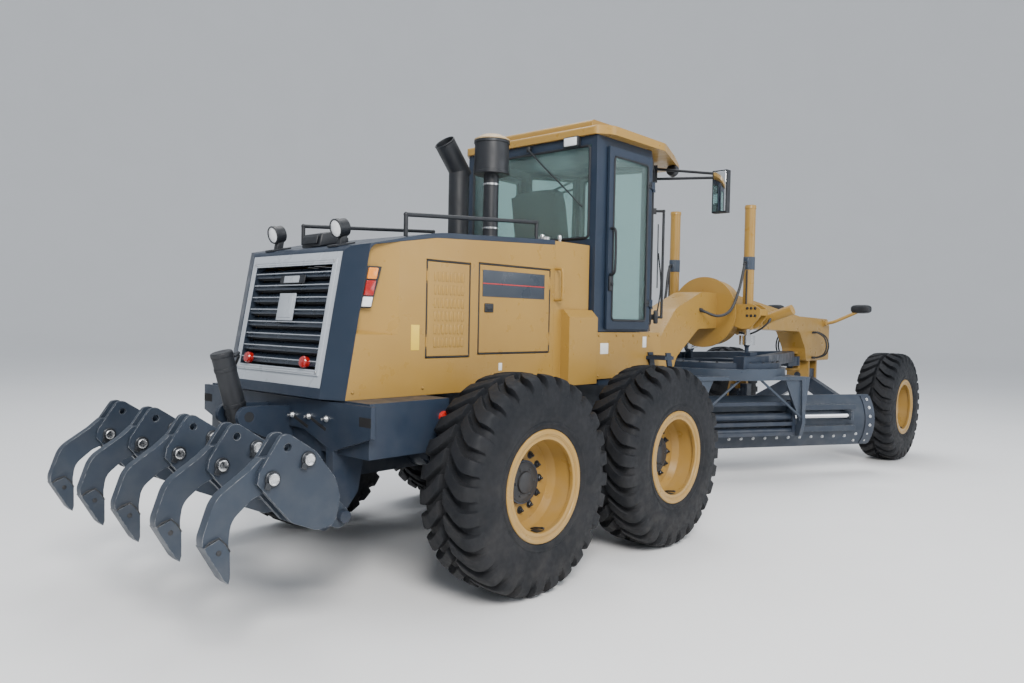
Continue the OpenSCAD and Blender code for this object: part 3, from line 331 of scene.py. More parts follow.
def smooth_path(points, n=24):
    """A Catmull-Rom curve through the points: each stretch is a cubic that takes its slopes from them."""
    p = np.array(points, float)
    p = np.concatenate([[2 * p[0] - p[1]], p, [2 * p[-1] - p[-2]]])
    t = np.linspace(0, len(points) - 1 - 1e-9, n)
    i = t.astype(int)
    f = (t - i)[:, None]
    a, b, c, d = (p[i + k] for k in range(4))
    square = 2 * b + (c - a) * f + (2 * a - 5 * b + 4 * c - d) * f ** 2
    return 0.5 * (square + (3 * b - a - 3 * c + d) * f ** 3)


def tube(path, radius, n=12, closed=False):
    """A circle carried along a path; the radius may be a number or one for each point."""
    path = np.array(path, float)
    way = np.roll(path, -1, 0) - np.roll(path, 1, 0) if closed else np.gradient(path, axis=0)
    way = unit(way)
    plane = np.linalg.svd(path - path.mean(0))[2][2]
    side = unit(np.cross(way, plane))
    up = np.cross(way, side)
    angle = np.linspace(0, 2 * np.pi, n, endpoint=False)[None, :, None]
    radius = np.broadcast_to(radius, len(path))[:, None, None]
    return shell(path[:, None] + radius * (np.cos(angle) * side[:, None] + np.sin(angle) * up[:, None]),
                 close_u=closed)


def gasket(corners, radius, size=0.030):
    """A closed tube round a flat opening, its corners rounded by quarter circles."""
    c = np.array(corners, float)
    before, after = unit(np.roll(c, 1, 0) - c), unit(np.roll(c, -1, 0) - c)
    t = np.linspace(0, np.pi / 2, 6)[None, :, None]
    arc = c[:, None] + size * ((1 - np.sin(t)) * before[:, None] + (1 - np.cos(t)) * after[:, None])
    return tube(arc.reshape(-1, 3), radius, 8, closed=True)


def block(corner, a, b, c, radius=0.006, steps=3):
    """A block on a corner and three edge vectors. Its rows are rounded rectangles that shrink towards
    both ends as a quarter circle does, so every edge is rounded."""
    a, b, c = (np.array(v, float) for v in (a, b, c))
    la, lb, lc = (np.linalg.norm(v) for v in (a, b, c))
    radius = min(radius, 0.49 * min(la, lb, lc))
    lift = np.linspace(0, np.pi / 2, steps + 1)
    inset = radius * (1 - np.sin(lift))
    rise = radius * (1 - np.cos(lift))
    inset, rise = np.concatenate([inset, inset[::-1]]), np.concatenate([rise, lc - rise[::-1]])
    turn = (np.arange(4)[:, None] * np.pi / 2 + lift[None]).ravel()
    cx = np.repeat([la - radius, radius, radius, la - radius], steps + 1)
    cy = np.repeat([lb - radius, lb - radius, radius, radius], steps + 1)
    reach = (radius - inset * 0.98)[:, None]
    x, y = cx + reach * np.cos(turn), cy + reach * np.sin(turn)
    z = np.repeat(rise[:, None], len(turn), 1)
    return shell(corner + x[..., None] * a / la + y[..., None] * b / lb + z[..., None] * c / lc)


def brick(place, size, radius, steps=3):
    """A block along the machine's own directions, from a corner's place."""
    a, b, c = np.diag(size)
    return block(at(*place), a, b, c, radius, steps)


def card(s, place, size, radius=0.001):
    """A block on the machine's right or left face: its size is along the machine, up and outwards."""
    x, y, z = place
    along, up, thick = size
    return block(at(x, s * y, z), (along, 0, 0), (0, 0, up), (0, s * thick, 0), radius)


def bolt(spot, axis, size=0.018, turn=0.0):
    """A hexagon head on its washer, as a turned part of six sides; size is half its width."""
    return [lathe([(0, size * 1.45), (size * 0.22, size * 1.4), (size * 0.25, size * 1.2)], spot, axis, 16),
            lathe([(0, size), (size * 0.85, size), (size * 1.05, size * 0.82)], spot, axis, 6, turn)]


def bolts(spots, axis, size):
    """Bolts at several points, all pointing one way."""
    return [part for spot in spots for part in bolt(spot, axis, size)]


print("generators: lathe, tube, gasket, block, brick, card, bolt")

# %% [markdown]
# ## The grille's silver, painted shade and dark slats
# The grille's frames are silver on their faces, with painted shade darkening them deeper in, and its slats
# are dark. It is one node, so it can't wear two finishes without being cut up. One finish with a test of each
# point's place
# does the same: how far the point lies behind the leaning rear face, as a dot product with the face's
# outward direction, which sets the painted shade, and whether it lies within the opening's width and height.

# %% Grille finish
face_x, face_z = -1.045, 1.170
lean = 0.165 / 0.890
slope, outward = unit([lean, 0, 1]), unit([-1, 0, lean])
level = float(np.dot(at(face_x, 0, face_z), outward))
half_width, sill, head = 0.4235, 1.3335, 1.9565
grille_coat_and_painted_shade = finish("grille_coat_and_painted_shade", (0.40, 0.435, 0.48), (0.33, 0.36, 0.40), rough=0.32, coat=0.2,
                     soft_edge=0.004)
tree = grille_coat_and_painted_shade.node_tree
shader = tree.nodes["Principled BSDF"]
silver_tone = shader.inputs["Base Color"].links[0].from_socket
place = add_node(tree, "TexCoord", {}, "Object")
left, up = (add_node(tree, "SeparateXYZ", {0: place}, name) for name in "YZ")
depth = add_node(tree, "VectorMath", {0: place, 1: outward}, "Value", operation="DOT_PRODUCT")
# Painted shade: from 14 to 22 mm behind the rear face, the silver frames darken to near black.
silver_and_painted_shade = mixed(tree, spread(tree, depth, level - 0.022, level - 0.014), (0.020, 0.023, 0.028, 1),
                   silver_tone)
beside = maths(tree, "LESS_THAN", maths(tree, "ABSOLUTE", left), half_width)
over_sill = maths(tree, "GREATER_THAN", up, at(0, 0, sill)[2])
under_head = maths(tree, "LESS_THAN", up, at(0, 0, head)[2])
inside = maths(tree, "MULTIPLY", beside, maths(tree, "MULTIPLY", over_sill, under_head))
tree.links.new(mixed(tree, inside, silver_and_painted_shade, (0.018, 0.026, 0.040, 1)), shader.inputs["Base Color"])
print("rear face at", round(level, 3), "m along its outward direction")

# %% [markdown]
# ## Dressing the nodes
# A short table says which finish each group of mechanical nodes wears. Copies could wear them as well, but
# the nodes already have the right shapes, so only their material slots change.


# %% Node finishes
def both(*parts):
    """The names of parts that stand on the right and on the left."""
    return [f"{part}_{side}" for side in sides for part in parts]


wears = {
    gold_enamel: ["hood_sides", "side_panels", "cab_roof", "front_frame", "shift_barrel"]
    + both("lift_barrel", "louvre_door", "engine_door", "rim_rear", "rim_mid", "rim_front"),
    slate_enamel: ["rear_frame", "hood_cap", "cab_frame", "drawbar", "drawbar_ball", "blade_carrier",
                   "front_axle"] + both("tandem", "cab_door", "hitch_barrel", "lean_bracket", "knuckle"),
    scuffed_steel: ["ripper_carrier", "ripper_shanks", "moldboard"],
    dull_black: ["engine_block", "exhaust", "head_lamps", "ripper_barrel", "rails_and_mirrors", "rear_lamps"],
    tyre_rubber: both("tyre_rear", "tyre_mid", "tyre_front"),
    polished_rod: ["shift_rod", "ripper_rod"] + both("lift_rod", "hitch_rod"),
    # The rear grille's finish carries painted shade in its depth.
    grille_coat_and_painted_shade: ["rear_grille"],
    ring_enamel: ["circle"],
    seat_cloth: ["cab_interior"],
    cab_tint: ["cab_glass"],
}
dressed = set()
for worn, names in wears.items():
    for name in names:
        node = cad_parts[name]
        if not node.data.materials:
            node.data.materials.append(worn)
        for slot in range(len(node.data.materials)):
            node.data.materials[slot] = worn
        dressed.add(name)
print("nodes without a finish:", sorted(set(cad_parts) - dressed))

# %% [markdown]
# ## Tyres
# A grader's tyre has two rows of slanted bars that stand on the tread, wrap over the shoulder and are
# staggered by half their spacing. The carcass is a closed section carried round the axle. A second section
# gives where the bars' tops lie, and a mask over the grid chooses between the two. The grid itself leans
# with the bars and is denser at their walls, so each wall follows a row of points and stays crisp. Bars
# could be separate blocks, but one grid has no seams where they meet the rubber.

# %% Tyre shape
bar_count, shoulder = 28, 0.125
tread = [(0.000, 0.637, 0.000, 0.637), (0.010, 0.637, 0.010, 0.637), (0.017, 0.636, 0.020, 0.673),
         (0.050, 0.635, 0.050, 0.6745), (0.100, 0.631, 0.100, 0.6735), (0.140, 0.627, 0.140, 0.670),
         (0.168, 0.620, 0.172, 0.664), (0.186, 0.610, 0.194, 0.650), (0.198, 0.594, 0.208, 0.628),
         (0.206, 0.576, 0.215, 0.600), (0.211, 0.558, 0.2185, 0.574), (0.2145, 0.542, 0.217, 0.548)]
wall = [(0.218, 0.515), (0.2205, 0.480), (0.2212, 0.445), (0.219, 0.415), (0.2135, 0.398), (0.2125, 0.393),
        (0.2165, 0.388), (0.2160, 0.378), (0.209, 0.370), (0.204, 0.356), (0.2015, 0.3475),
        (0.176, 0.3465), (0.1655, 0.330), (0.160, 0.3188)]
carcass = np.array(tread + [spot + spot for spot in wall])


def tyre(name, hub, side):
    """Rings round the hub. Where the mask is one, a point lies on the bars' section. A row's angle grows
    with its distance from the middle, which slants the bars."""
    spots = np.array([0, 0.05, 0.10, 0.18, 0.26, 0.36, 0.5, 0.55, 0.60, 0.68, 0.76, 0.86])
    half = len(spots) // 2
    section = np.concatenate([carcass[:0:-1] * [-1, 1, -1, 1], carcass])
    flank = np.sign(section[:, 0])
    step = np.arange(bar_count * len(spots))
    angle = (step // len(spots) + spots[step % len(spots)]) * 2 * np.pi / bar_count
    order = (step[:, None] + np.where(flank > 0, half, 0)[None]) % len(spots)
    reach = np.abs(section[:, 0])
    on_bar = (order >= 1) & (order <= half + 2) & (reach > 0.012) & (reach < 0.216) & (section[:, 1] > 0.57)
    across_tread = np.where(on_bar, section[:, 2], section[:, 0])
    radius = np.where(on_bar, section[:, 3], section[:, 1])
    slant = 0.95 * np.minimum(reach, shoulder) + 0.15 * np.clip(reach - shoulder, 0, 0.08)
    turned = angle[:, None] + (np.pi / 2) + slant[None] / hub_height
    points = np.stack([radius * np.cos(turned), side * across_tread, radius * np.sin(turned)], -1) + hub
    piece = put(f"tyre_{name}_tread", [shell(points, close_u=True)], tyre_rubber, f"wheel_{name}", sharp=28)
    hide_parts(f"tyre_{name}")
    return piece


track = 1.127
axles = {"rear": 0.0, "mid": 1.538, "front": 7.107}
wheels = {f"{row}_{side}": (at(x, s * track, hub_height), s)
          for row, x in axles.items() for side, s in sides.items()}
for name, (hub, s) in wheels.items():
    made = tyre(name, hub, s)
print("triangles in one tyre", 2 * len(made.data.polygons))

# %% [markdown]
# ## Wheel discs
# The rim node is a plain turned part. Real rims have a rolled lip with a lock ring inside it, a ring of
# dark nuts round the hub, and a valve in a small guard down in the barrel. The lip is turned, because a
# wheel is: its profile is two small hills. The nuts are hexagons on washers, repeated round a circle.


# %% Rim details
def spoke(a):
    """A direction square to the axles, turned by an angle."""
    return np.array([math.cos(a), 0, math.sin(a)])


lip = [(0.1660, 0.3090), (0.1660, 0.2880), (0.1700, 0.2830), (0.1930, 0.2800), (0.1975, 0.2825),
       (0.1985, 0.2900), (0.1975, 0.3040), (0.1950, 0.3070), (0.1990, 0.3110), (0.2045, 0.3150),
       (0.2075, 0.3230), (0.2070, 0.3380), (0.2030, 0.3440), (0.1985, 0.3448), (0.1950, 0.3300)]
hub_cap = [(0.0305, 0.126), (0.034, 0.124), (0.036, 0.112), (0.040, 0.100), (0.0395, 0.070),
           (0.052, 0.066), (0.056, 0.058), (0.056, 0.004)]
nut_circle = np.linspace(0, 2 * np.pi, 12, endpoint=False)
for name, (hub, s) in wheels.items():
    out, body = np.array([0, s, 0]), f"wheel_{name}"
    put(f"rim_lip_{name}", [lathe(lip, hub, out, 96, ring=True)], gold_enamel, body)
    nuts = []
    for a in nut_circle:
        spot = hub + 0.178 * spoke(a)
        nuts += bolt(spot, out, 0.017, a)
        nuts.append(lathe([(0.016, 0.008), (0.030, 0.008), (0.032, 0.006)], spot, out, 10))
    put(f"wheel_nuts_{name}", nuts, gun_metal, body)
    screws = bolts([hub + 0.088 * spoke(a) + 0.0395 * out for a in nut_circle[::2]], out, 0.008)
    put(f"hub_cover_{name}", [lathe(hub_cap, hub, out, 48)] + screws, dull_black, body)
    stem = hub + [0.03, s * 0.070, -0.2865]
    mouth = stem + [0, s * 0.085, 0.020]
    valve = [tube(smooth_path([stem, stem + [0, s * 0.03, 0.012], mouth], 10), 0.006),
             lathe([(0, 0.008), (0.018, 0.008), (0.020, 0.005)], mouth, out, 12),
             block(stem + [-0.028, s * 0.02, -0.006], (0.056, 0, 0), (0, s * 0.07, 0), (0, 0, 0.007), 0.003)]
    put(f"valve_{name}", valve, dull_black, body)
print("nuts on each wheel", len(nut_circle))

# %% [markdown]
# ## The rear face
# The hood's rear leans forward, so its pieces are set out on a slanted plane: metres to the left, a height,
# and how far a point stands out behind the face. Turned objects would do too, but their finishes would turn
# with them. Behind the slats lies a dark screen of woven wire. On them sit a blank name plate, a badge and
# two red reflectors, and each corner has a bolt.


# %% Grille dressing
def on_face(y, z, out=0.0):
    """Points of the leaning rear face."""
    return at(face_x + lean * (z - face_z), y, z) + np.multiply.outer(out, outward)


def raised(y, z, out, size, radius):
    """A block on the rear face: its size is to the left, up the slope and outwards."""
    width, height, thick = size
    return block(on_face(y, z, out), (0, width, 0), slope * height, outward * thick, radius)


put("grille_screen", [raised(-0.421, 1.336, -0.064, (0.842, 0.628, -0.006), 0.002)], wire_screen)
put("blank_plate", [raised(-0.088, 1.615, -0.002, (0.176, 0.172, 0.012), 0.004),
                    raised(-0.070, 1.633, 0.008, (0.140, 0.136, 0.005), 0.002)], silver_enamel)
put("badge_base", [raised(-0.155, 1.846, -0.002, (0.270, 0.052, 0.010), 0.004)], dull_black)
put("badge_face", [raised(-0.098, 1.850, 0.007, (0.165, 0.043, 0.004), 0.002)], silver_enamel)
cup = [(0.000, 0.034), (0.026, 0.035), (0.034, 0.030), (0.036, 0.018), (0.036, 0.002)]
put("rear_reflectors", [lathe(cup, on_face(y, 1.372), outward, 28) for y in (-0.315, 0.315)], red_lens)
corners = [on_face(y, z, 0.008) for y in (-0.438, 0.438) for z in (1.318, 1.972)]
put("grille_bolts", bolts(corners, outward, 0.007), bright_bolt)
beading = []
for half, z0, z1 in ((0.447, 1.309, 1.980), (0.432, 1.324, 1.966)):
    loop = [on_face(y, z, 0.0085) for y, z in ((-half, z0), (half, z0), (half, z1), (-half, z1))]
    beading += [tube(np.linspace(p, q, 3), 0.0022, 8) for p, q in zip(loop, loop[1:] + loop[:1])]
slats = 1.350 + 0.076 * np.arange(8)
blades = []
for z in slats:
    ends = on_face(-0.421, z + 0.030, 0.002), on_face(0.421, z + 0.030, 0.002)
    beading.append(tube(np.linspace(*ends, 3), 0.0034, 8))
    blades.append(block(on_face(-0.4205, z - 0.006, -0.030), (0, 0.841, 0), slope * 0.060 - outward * 0.012,
                        outward * 0.004, 0.0015))
put("grille_beading", beading, silver_enamel)
put("grille_blades", blades, wire_screen)
print("rear face leans", round(math.degrees(math.atan(lean)), 1), "degrees")

# %% [markdown]
# ## Lamps at the rear
# A tail lamp is a dark housing with three lenses, amber over red over clear, each a small crowned block.
# They stand on the sloping wall of the hood's pocket, so their edge vectors follow that wall. The round
# work lamps on the hood's top are turned, as real ones are pressed from a disc: a rim, a clear lens and a
# leaning foot.

# %% Rear lamps
skin = 0.660


def on_pocket(s, back, z, out=0.0):
    """A point of the pocket's wall, so far behind its front end and out from it. The wall runs in from the
    hood's skin by a fifth of the way back."""
    return at(-0.600 - back, s * (skin - 0.2 * back + out), z)


tail_lenses = {"clear": (0.03, 0.27, clear_lens), "red": (0.30, 0.665, red_lens),
               "amber": (0.695, 0.97, amber_lens)}
lamp_rim = [(-0.020, 0.0570), (0.006, 0.0585), (0.010, 0.0560), (0.008, 0.050), (-0.02, 0.047)]
lamp_lens = [(-0.004, 0.050), (0.004, 0.050), (0.009, 0.036), (0.012, 0.018), (0.0125, 0.001)]
for side, s in sides.items():
    lean_back = on_pocket(s, 0.230, 1.943) - on_pocket(s, 0.278, 1.700)
    width = on_pocket(s, 0.268, 1.7) - on_pocket(s, 0.200, 1.7)
    out = on_pocket(s, 0, 0, 0.006) - on_pocket(s, 0, 0)
    foot = on_pocket(s, 0.2005, 1.6985, 0.001)
    put(f"tail_housing_{side}", [block(foot, width * 1.06, lean_back * 1.01, out * 5.4)], dull_black)
    for name, (low_end, high_end, worn) in tail_lenses.items():
        corner = foot + lean_back * low_end + width * 0.09 + out * 5.2
        lens = block(corner, width * 0.88, lean_back * (high_end - low_end), out * 2.0, 0.009)
        put(f"tail_{name}_{side}", [lens], worn)
    spot, aim = at(-0.834, s * 0.350, 2.1765), unit([-0.97, 0, -0.24])
    put(f"work_lamp_rim_{side}", [lathe(lamp_rim, spot, aim, 40, ring=True)], dull_black)
    put(f"work_lamp_lens_{side}", [lathe(lamp_lens, spot, aim, 40)], clear_lens)
    shank = [block(at(-0.865, s * 0.350 - 0.052, 2.062), (0.135, 0, 0.029), (0, 0.104, 0), (0, 0, 0.012),
                   0.004),
             block(at(-0.822, s * 0.350 - 0.020, 2.075), (0.050, 0, 0.010), (0, 0.040, 0), (0.010, 0, 0.060))]
    put(f"work_lamp_foot_{side}", shank, dull_black)
camera_box = [block(at(-0.800, -0.125, 2.080), (0.16, 0, 0.034), (0, 0.20, 0), (0.020, 0, 0.085), 0.010),
              block(at(-0.812, -0.105, 2.100), (0.014, 0, 0.003), (0, 0.16, 0), (0.010, 0, 0.050)),
              block(at(-0.640, -0.090, 2.110), (0.09, 0, 0.019), (0, 0.13, 0), (0, 0, 0.035), 0.010)]
put("rear_view_box", camera_box, dull_black)
print("lenses per cluster", len(tail_lenses))

# %% [markdown]
# ## The hood's sides
# The two doors on each side lie flush with the panel, with a black rubber seam round them. The louvres are
# pressed outwards. A bump map would look flat from the side, so each gets a real lip: its height is a
# product of two sines over the louvre's width and length. The front door has a dark blank band with a red
# line and a lock, and there is a grab handle ahead of it.

# %% Hood side dressing
skirt = 0.715
t, u = np.linspace(0, np.pi, 9)[:, None], np.linspace(0, np.pi, 7)[None]
bulge, bow = np.sin(u) * np.sin(t), np.cos(u) * np.sin(t) ** 0.4
handle = np.array([(0, 0, 0), (0, 0.045, 0.004), (0, 0.062, 0.030), (0, 0.062, 0.200), (0, 0.045, 0.226),
                   (0, 0, 0.230)])
for side, s in sides.items():
    seams = [gasket(at([x0, x1, x1, x0], s * (skin - 0.0035), [z0, z0, z1, z1]), 0.0058, 0.016)
             for x0, x1, z0, z1 in ((-0.377, -0.003, 1.403, 2.007), (0.083, 0.817, 1.418, 2.017))]
    put(f"door_seals_{side}", seams, dull_black)
    lips = [shell(at(x - 0.012 * bow, s * (skin + 0.0005 + 0.0042 * bulge), z - 0.032 * np.cos(t)),
                  close_v=False, caps=False)
            for z in 1.495 + 0.083 * np.arange(6) for x in -0.3045 + 0.034 * np.arange(8)]
    put(f"louvre_lips_{side}", lips, gold_enamel, f"louvre_door_{side}")
    door = f"engine_door_{side}"
    put(f"name_band_{side}", [card(s, (0.115, skin - 0.001, 1.800), (0.640, 0.178, 0.0035))], band_film, door)
    put(f"name_band_line_{side}", [card(s, (0.115, skin + 0.001, 1.8845), (0.640, 0.0060, 0.0020), 0.0005)],
        red_line, door)
    lock = [card(s, (0.135, skin - 0.004, 1.695), (0.085, 0.060, 0.012), 0.006),
            card(s, (0.150, skin + 0.004, 1.710), (0.055, 0.030, 0.010), 0.005)]
    put(f"engine_door_lock_{side}", lock, dull_black, door)
    grip = at(0.885, s * (skin + 0.001), 1.800)
    put(f"hood_handle_{side}", [tube(smooth_path(grip + handle * [1, s, 1], 26), 0.011)], gold_enamel)
    put(f"blank_label_{side}", [card(s, (-0.500, skin - 0.0005, 1.450), (0.066, 0.155, 0.0016))],
        label_yellow)
    put(f"blank_card_{side}", [card(s, (0.285, skin - 0.0005, 1.300), (0.034, 0.052, 0.0016))], label_white)
    spots = [at(x, s * skin, 1.215) for x in (-0.93, -0.40, 0.04, 0.86)]
    spots += [at(x, s * skirt, z) for x in (1.36, 1.60, 1.84, 2.08, 2.22) for z in (1.225, 1.540)]
    put(f"panel_bolts_{side}", bolts(spots, (0, s, 0), 0.0075), gold_enamel)
    cards = [card(s, (1.385, skirt - 0.0005, 1.395), (0.105, 0.085, 0.0016)),
             card(s, (1.985, skirt - 0.0005, 1.440), (0.055, 0.090, 0.0016))]
    put(f"skirt_labels_{side}", cards, label_white)
print("louvres on each door", len(lips))

# %% [markdown]
# ## Stack and air cleaner
# The stack's slanted mouth gets a rolled edge: a small closed profile turned about the mouth's own
# direction, which stays open in the middle. The air cleaner's bowl has two seam bands, and its pipe two
# clamps with a bright screw each. Both pipes stand on flanges, and four filler caps stand behind the cab.
# All of them are round, so each needs only a profile.

# %% Stack and bowl
stack, bowl, upward = (0.640, 0.130), (0.690, -0.170), (0, 0, 1)
tilt = math.radians(40)
aim = np.array([-math.sin(tilt), 0, math.cos(tilt)])
mouth = at(*stack, 2.800) + 0.245 * aim
rolled = [(-0.006, 0.0805), (0.000, 0.0830), (0.006, 0.0820), (0.008, 0.0780), (0.005, 0.0735),
          (-0.003, 0.0720), (-0.010, 0.0730)]
put("stack_mouth", [lathe(rolled, mouth, aim, 48, ring=True)], dull_black)
band = [(-0.004, 0.1305), (-0.002, 0.1355), (0.016, 0.1355), (0.018, 0.1305)]
put("bowl_bands", [lathe(band, at(*bowl, z), upward, 48) for z in (2.745, 2.975)], dull_black)
clamps = []
for z in (2.330, 2.660):
    clamps.append(lathe([(0.0, 0.0575), (0.001, 0.0600), (0.014, 0.0600), (0.015, 0.0575)],
                        at(*bowl, z), upward, 32))
    clamps.append(lathe([(0, 0.005), (0.030, 0.005), (0.032, 0.003)], at(0.630, -0.190, z + 0.007),
                        (0, 1, 0), 8))
put("pipe_clamps", clamps, bright_bolt)
flanges = []
for (x, y), r in ((stack, 0.080), (bowl, 0.057)):
    profile = [(-0.010, r + 0.030), (0.006, r + 0.030), (0.010, r + 0.022), (0.014, r + 0.008),
               (0.050, r + 0.001)]
    hood_top = 2.185 + (x + 0.300) * 0.055 / 1.170
    flanges.append(lathe(profile, at(x, y, hood_top), upward))
put("stack_flanges", flanges, dull_black)
caps = []
for x, y, h, r in ((1.030, -0.420, 0.055, 0.045), (1.150, -0.300, 0.090, 0.020),
                   (1.120, -0.500, 0.070, 0.016), (1.030, 0.300, 0.045, 0.050)):
    profile = [(-0.006, r * 0.8), (h * 0.5, r * 0.8), (h * 0.55, r), (h * 0.95, r), (h, r * 0.9),
               (h + 0.004, 0.3 * r)]
    caps.append(lathe(profile, at(x, y, 2.235), upward, 24))
put("filler_caps", caps, bright_bolt)
print("stack mouth at", mouth.round(2))

# %% [markdown]
# ## The cab's outside
# The windows sit in black rubber. It could be the opening's edge made thicker, but a tube round each
# opening catches a long highlight, as rubber does. The doors have a pane of their own, strap hinges, a lock
# and a pull handle.

# %% Cab details
sill, head = 1.638, 3.012
rubber = [gasket(at(1.309, [-0.632, 0.632, 0.632, -0.632], [2.298, 2.298, head, head]), 0.011),
          gasket(at(2.561, [-0.362, 0.362, 0.362, -0.362], [sill, sill, head, head]), 0.011)]
turn = math.atan2(0.700 - 0.420, 2.560 - 2.080)
u = np.array([0.052, 0.493, 0.493, 0.052])
for s in sides.values():
    rubber.append(gasket(at(2.080 + u * math.cos(turn), s * (0.700 - u * math.sin(turn)),
                            [sill, sill, head, head]), 0.011))
put("window_rubbers", rubber, dull_black)
pull = [(1.470, 0.732, 2.02), (1.470, 0.772, 2.03), (1.470, 0.780, 2.10), (1.470, 0.780, 2.30),
        (1.470, 0.772, 2.37), (1.470, 0.732, 2.38)]
for side, s in sides.items():
    body = f"cab_door_{side}"
    seal = gasket(at([1.503, 1.987, 1.987, 1.503], s * 0.731, [1.663, 1.663, 2.947, 2.947]), 0.009)
    put(f"cab_door_rubber_{side}", [seal], dull_black, body)
    put(f"cab_door_pane_{side}", [card(s, (1.488, 0.716, 1.648), (0.514, 1.314, 0.005), 0.002)], cab_tint,
        body)
    latch = [tube(smooth_path(places(pull, s)), 0.010),
             card(s, (1.448, 0.728, 1.890), (0.044, 0.120, 0.020), 0.008),
             lathe([(0, 0.014), (0.012, 0.014), (0.015, 0.010), (0.015, 0.001)],
                   at(1.470, s * 0.748, 1.945), (0, s, 0), 20)]
    put(f"cab_door_handle_{side}", latch, dull_black, body)
    straps = []
    for z in (1.790, 2.770):
        straps.append(card(s, (1.975, 0.729, z - 0.006), (0.085, 0.052, 0.010), 0.003))
        straps += bolts([at(x, s * 0.739, z + 0.020) for x in (1.995, 2.025)], (0, s, 0), 0.0065)
    put(f"cab_door_straps_{side}", straps, dull_black, body)
print("quarter panes turn", round(math.degrees(turn), 1), "degrees")

# %% [markdown]
# Wipers, the work lamps and the aerial's base are small, but the eye looks for them on a cab. A wiper's
# arm is a tube through three points whose radius shrinks towards its blade, as a pressed arm does.

# %% Wipers and lamps on the cab
pivot, end = at(1.292, -0.020, 3.055), at(1.300, -0.431, 2.675)
arm = smooth_path([pivot + [-0.020, 0, 0], pivot * 0.6 + end * 0.4 + [-0.028, 0, 0], end + [-0.016, 0, 0]],
                  14)
wiper = [tube(arm, np.linspace(0.009, 0.005, 14), 10),
         lathe([(-0.010, 0.022), (0.016, 0.022), (0.024, 0.016), (0.024, 0.001)], pivot, (-1, 0, 0), 20)]
along = unit(end - pivot)
for back, radius in ((0.012, 0.006), (0.004, 0.003)):
    blade_line = np.linspace(end - along * 0.26, end + along * 0.20, 8) - [back, 0, 0]
    wiper.append(tube(blade_line, radius, 8))
put("rear_wiper", wiper, dull_black)
lamp = [brick((1.262, -0.545, 3.010), (0.050, 0.150, 0.085), 0.012),
        brick((1.285, -0.485, 3.060), (0.040, 0.030, 0.045), 0.006)]
put("rear_cab_lamp", lamp, dull_black)
put("rear_cab_lens", [brick((1.2585, -0.533, 3.020), (0.012, 0.126, 0.065), 0.008)], clear_lens)
front_rim = [(-0.030, 0.030), (-0.028, 0.050), (0.020, 0.056), (0.026, 0.052), (0.024, 0.046), (0.010, 0.044)]
front_lens = [(0.012, 0.045), (0.020, 0.044), (0.026, 0.025), (0.027, 0.001)]
for side, s in sides.items():
    spot, aim = at(2.720, s * 0.520, 3.045), (1, 0, -0.15)
    put(f"front_cab_lamp_{side}", [lathe(front_rim, spot, aim, 28)], dull_black)
    put(f"front_cab_lens_{side}", [lathe(front_lens, spot, aim, 28)], clear_lens)
    base, tip = at(2.44, s * 0.560, 1.700), at(2.28, s * 0.652, 2.250)
    arm = smooth_path([base, base * 0.5 + tip * 0.5 + [0.02, s * 0.028, 0], tip + [0, s * 0.012, 0]], 12)
    blade_line = np.linspace(tip + [0.02, -s * 0.006, -0.30], tip + [-0.01, s * 0.010, 0.25], 6)
    motor = [block(at(2.395, s * 0.555, 1.640), (0.085, -s * 0.050, 0), (0.020, s * 0.034, 0), (0, 0, 0.120),
                   0.012), tube(arm, 0.006, 8), tube(blade_line, 0.005, 8)]
    put(f"quarter_wiper_{side}", motor, dull_black)
put("aerial_base", [lathe([(0, 0.022), (0.010, 0.020), (0.030, 0.010), (0.045, 0.006), (0.046, 0.001)],
                          at(1.36, 0.35, 3.158), upward, 20)], dull_black)
print("wiper sweeps from", pivot.round(2))

# %% [markdown]
# ## Mirrors
# The head is a block with wide rounded edges; a squashed ball would be rounder than the real shell. Its
# glass is a thin sheet on the face that looks back along the machine, with the head's edge as a frame.

# %% Mirror heads
for side, s in sides.items():
    put(f"mirror_shell_{side}", [brick((2.688, s * 0.938, 2.618), (0.069, s * 0.144, 0.374), 0.030, 5)],
        dull_black)
    put(f"mirror_glass_{side}", [brick((2.6868, s * 0.950, 2.632), (0.006, s * 0.120, 0.346), 0.0028)],
        mirror_face)
print("mirror heads", len(sides))

# %% [markdown]
# ## The ripper's pins, tips and the rear plate
# Every shank hangs between two cheeks on two pins, whose bright heads stand out on both sides, each kept
# by a small tab. Each tip is held by a round pin, and a seam shows where it meets its shank. The plate
# across the frame's end carries a row of bright bolts. Four slanted dark strips on it are painted shadows
# cast by the bolts, and two straight dark plates are painted shade where the plate has openings: a hole
# in the plate would show the same dark from every side.

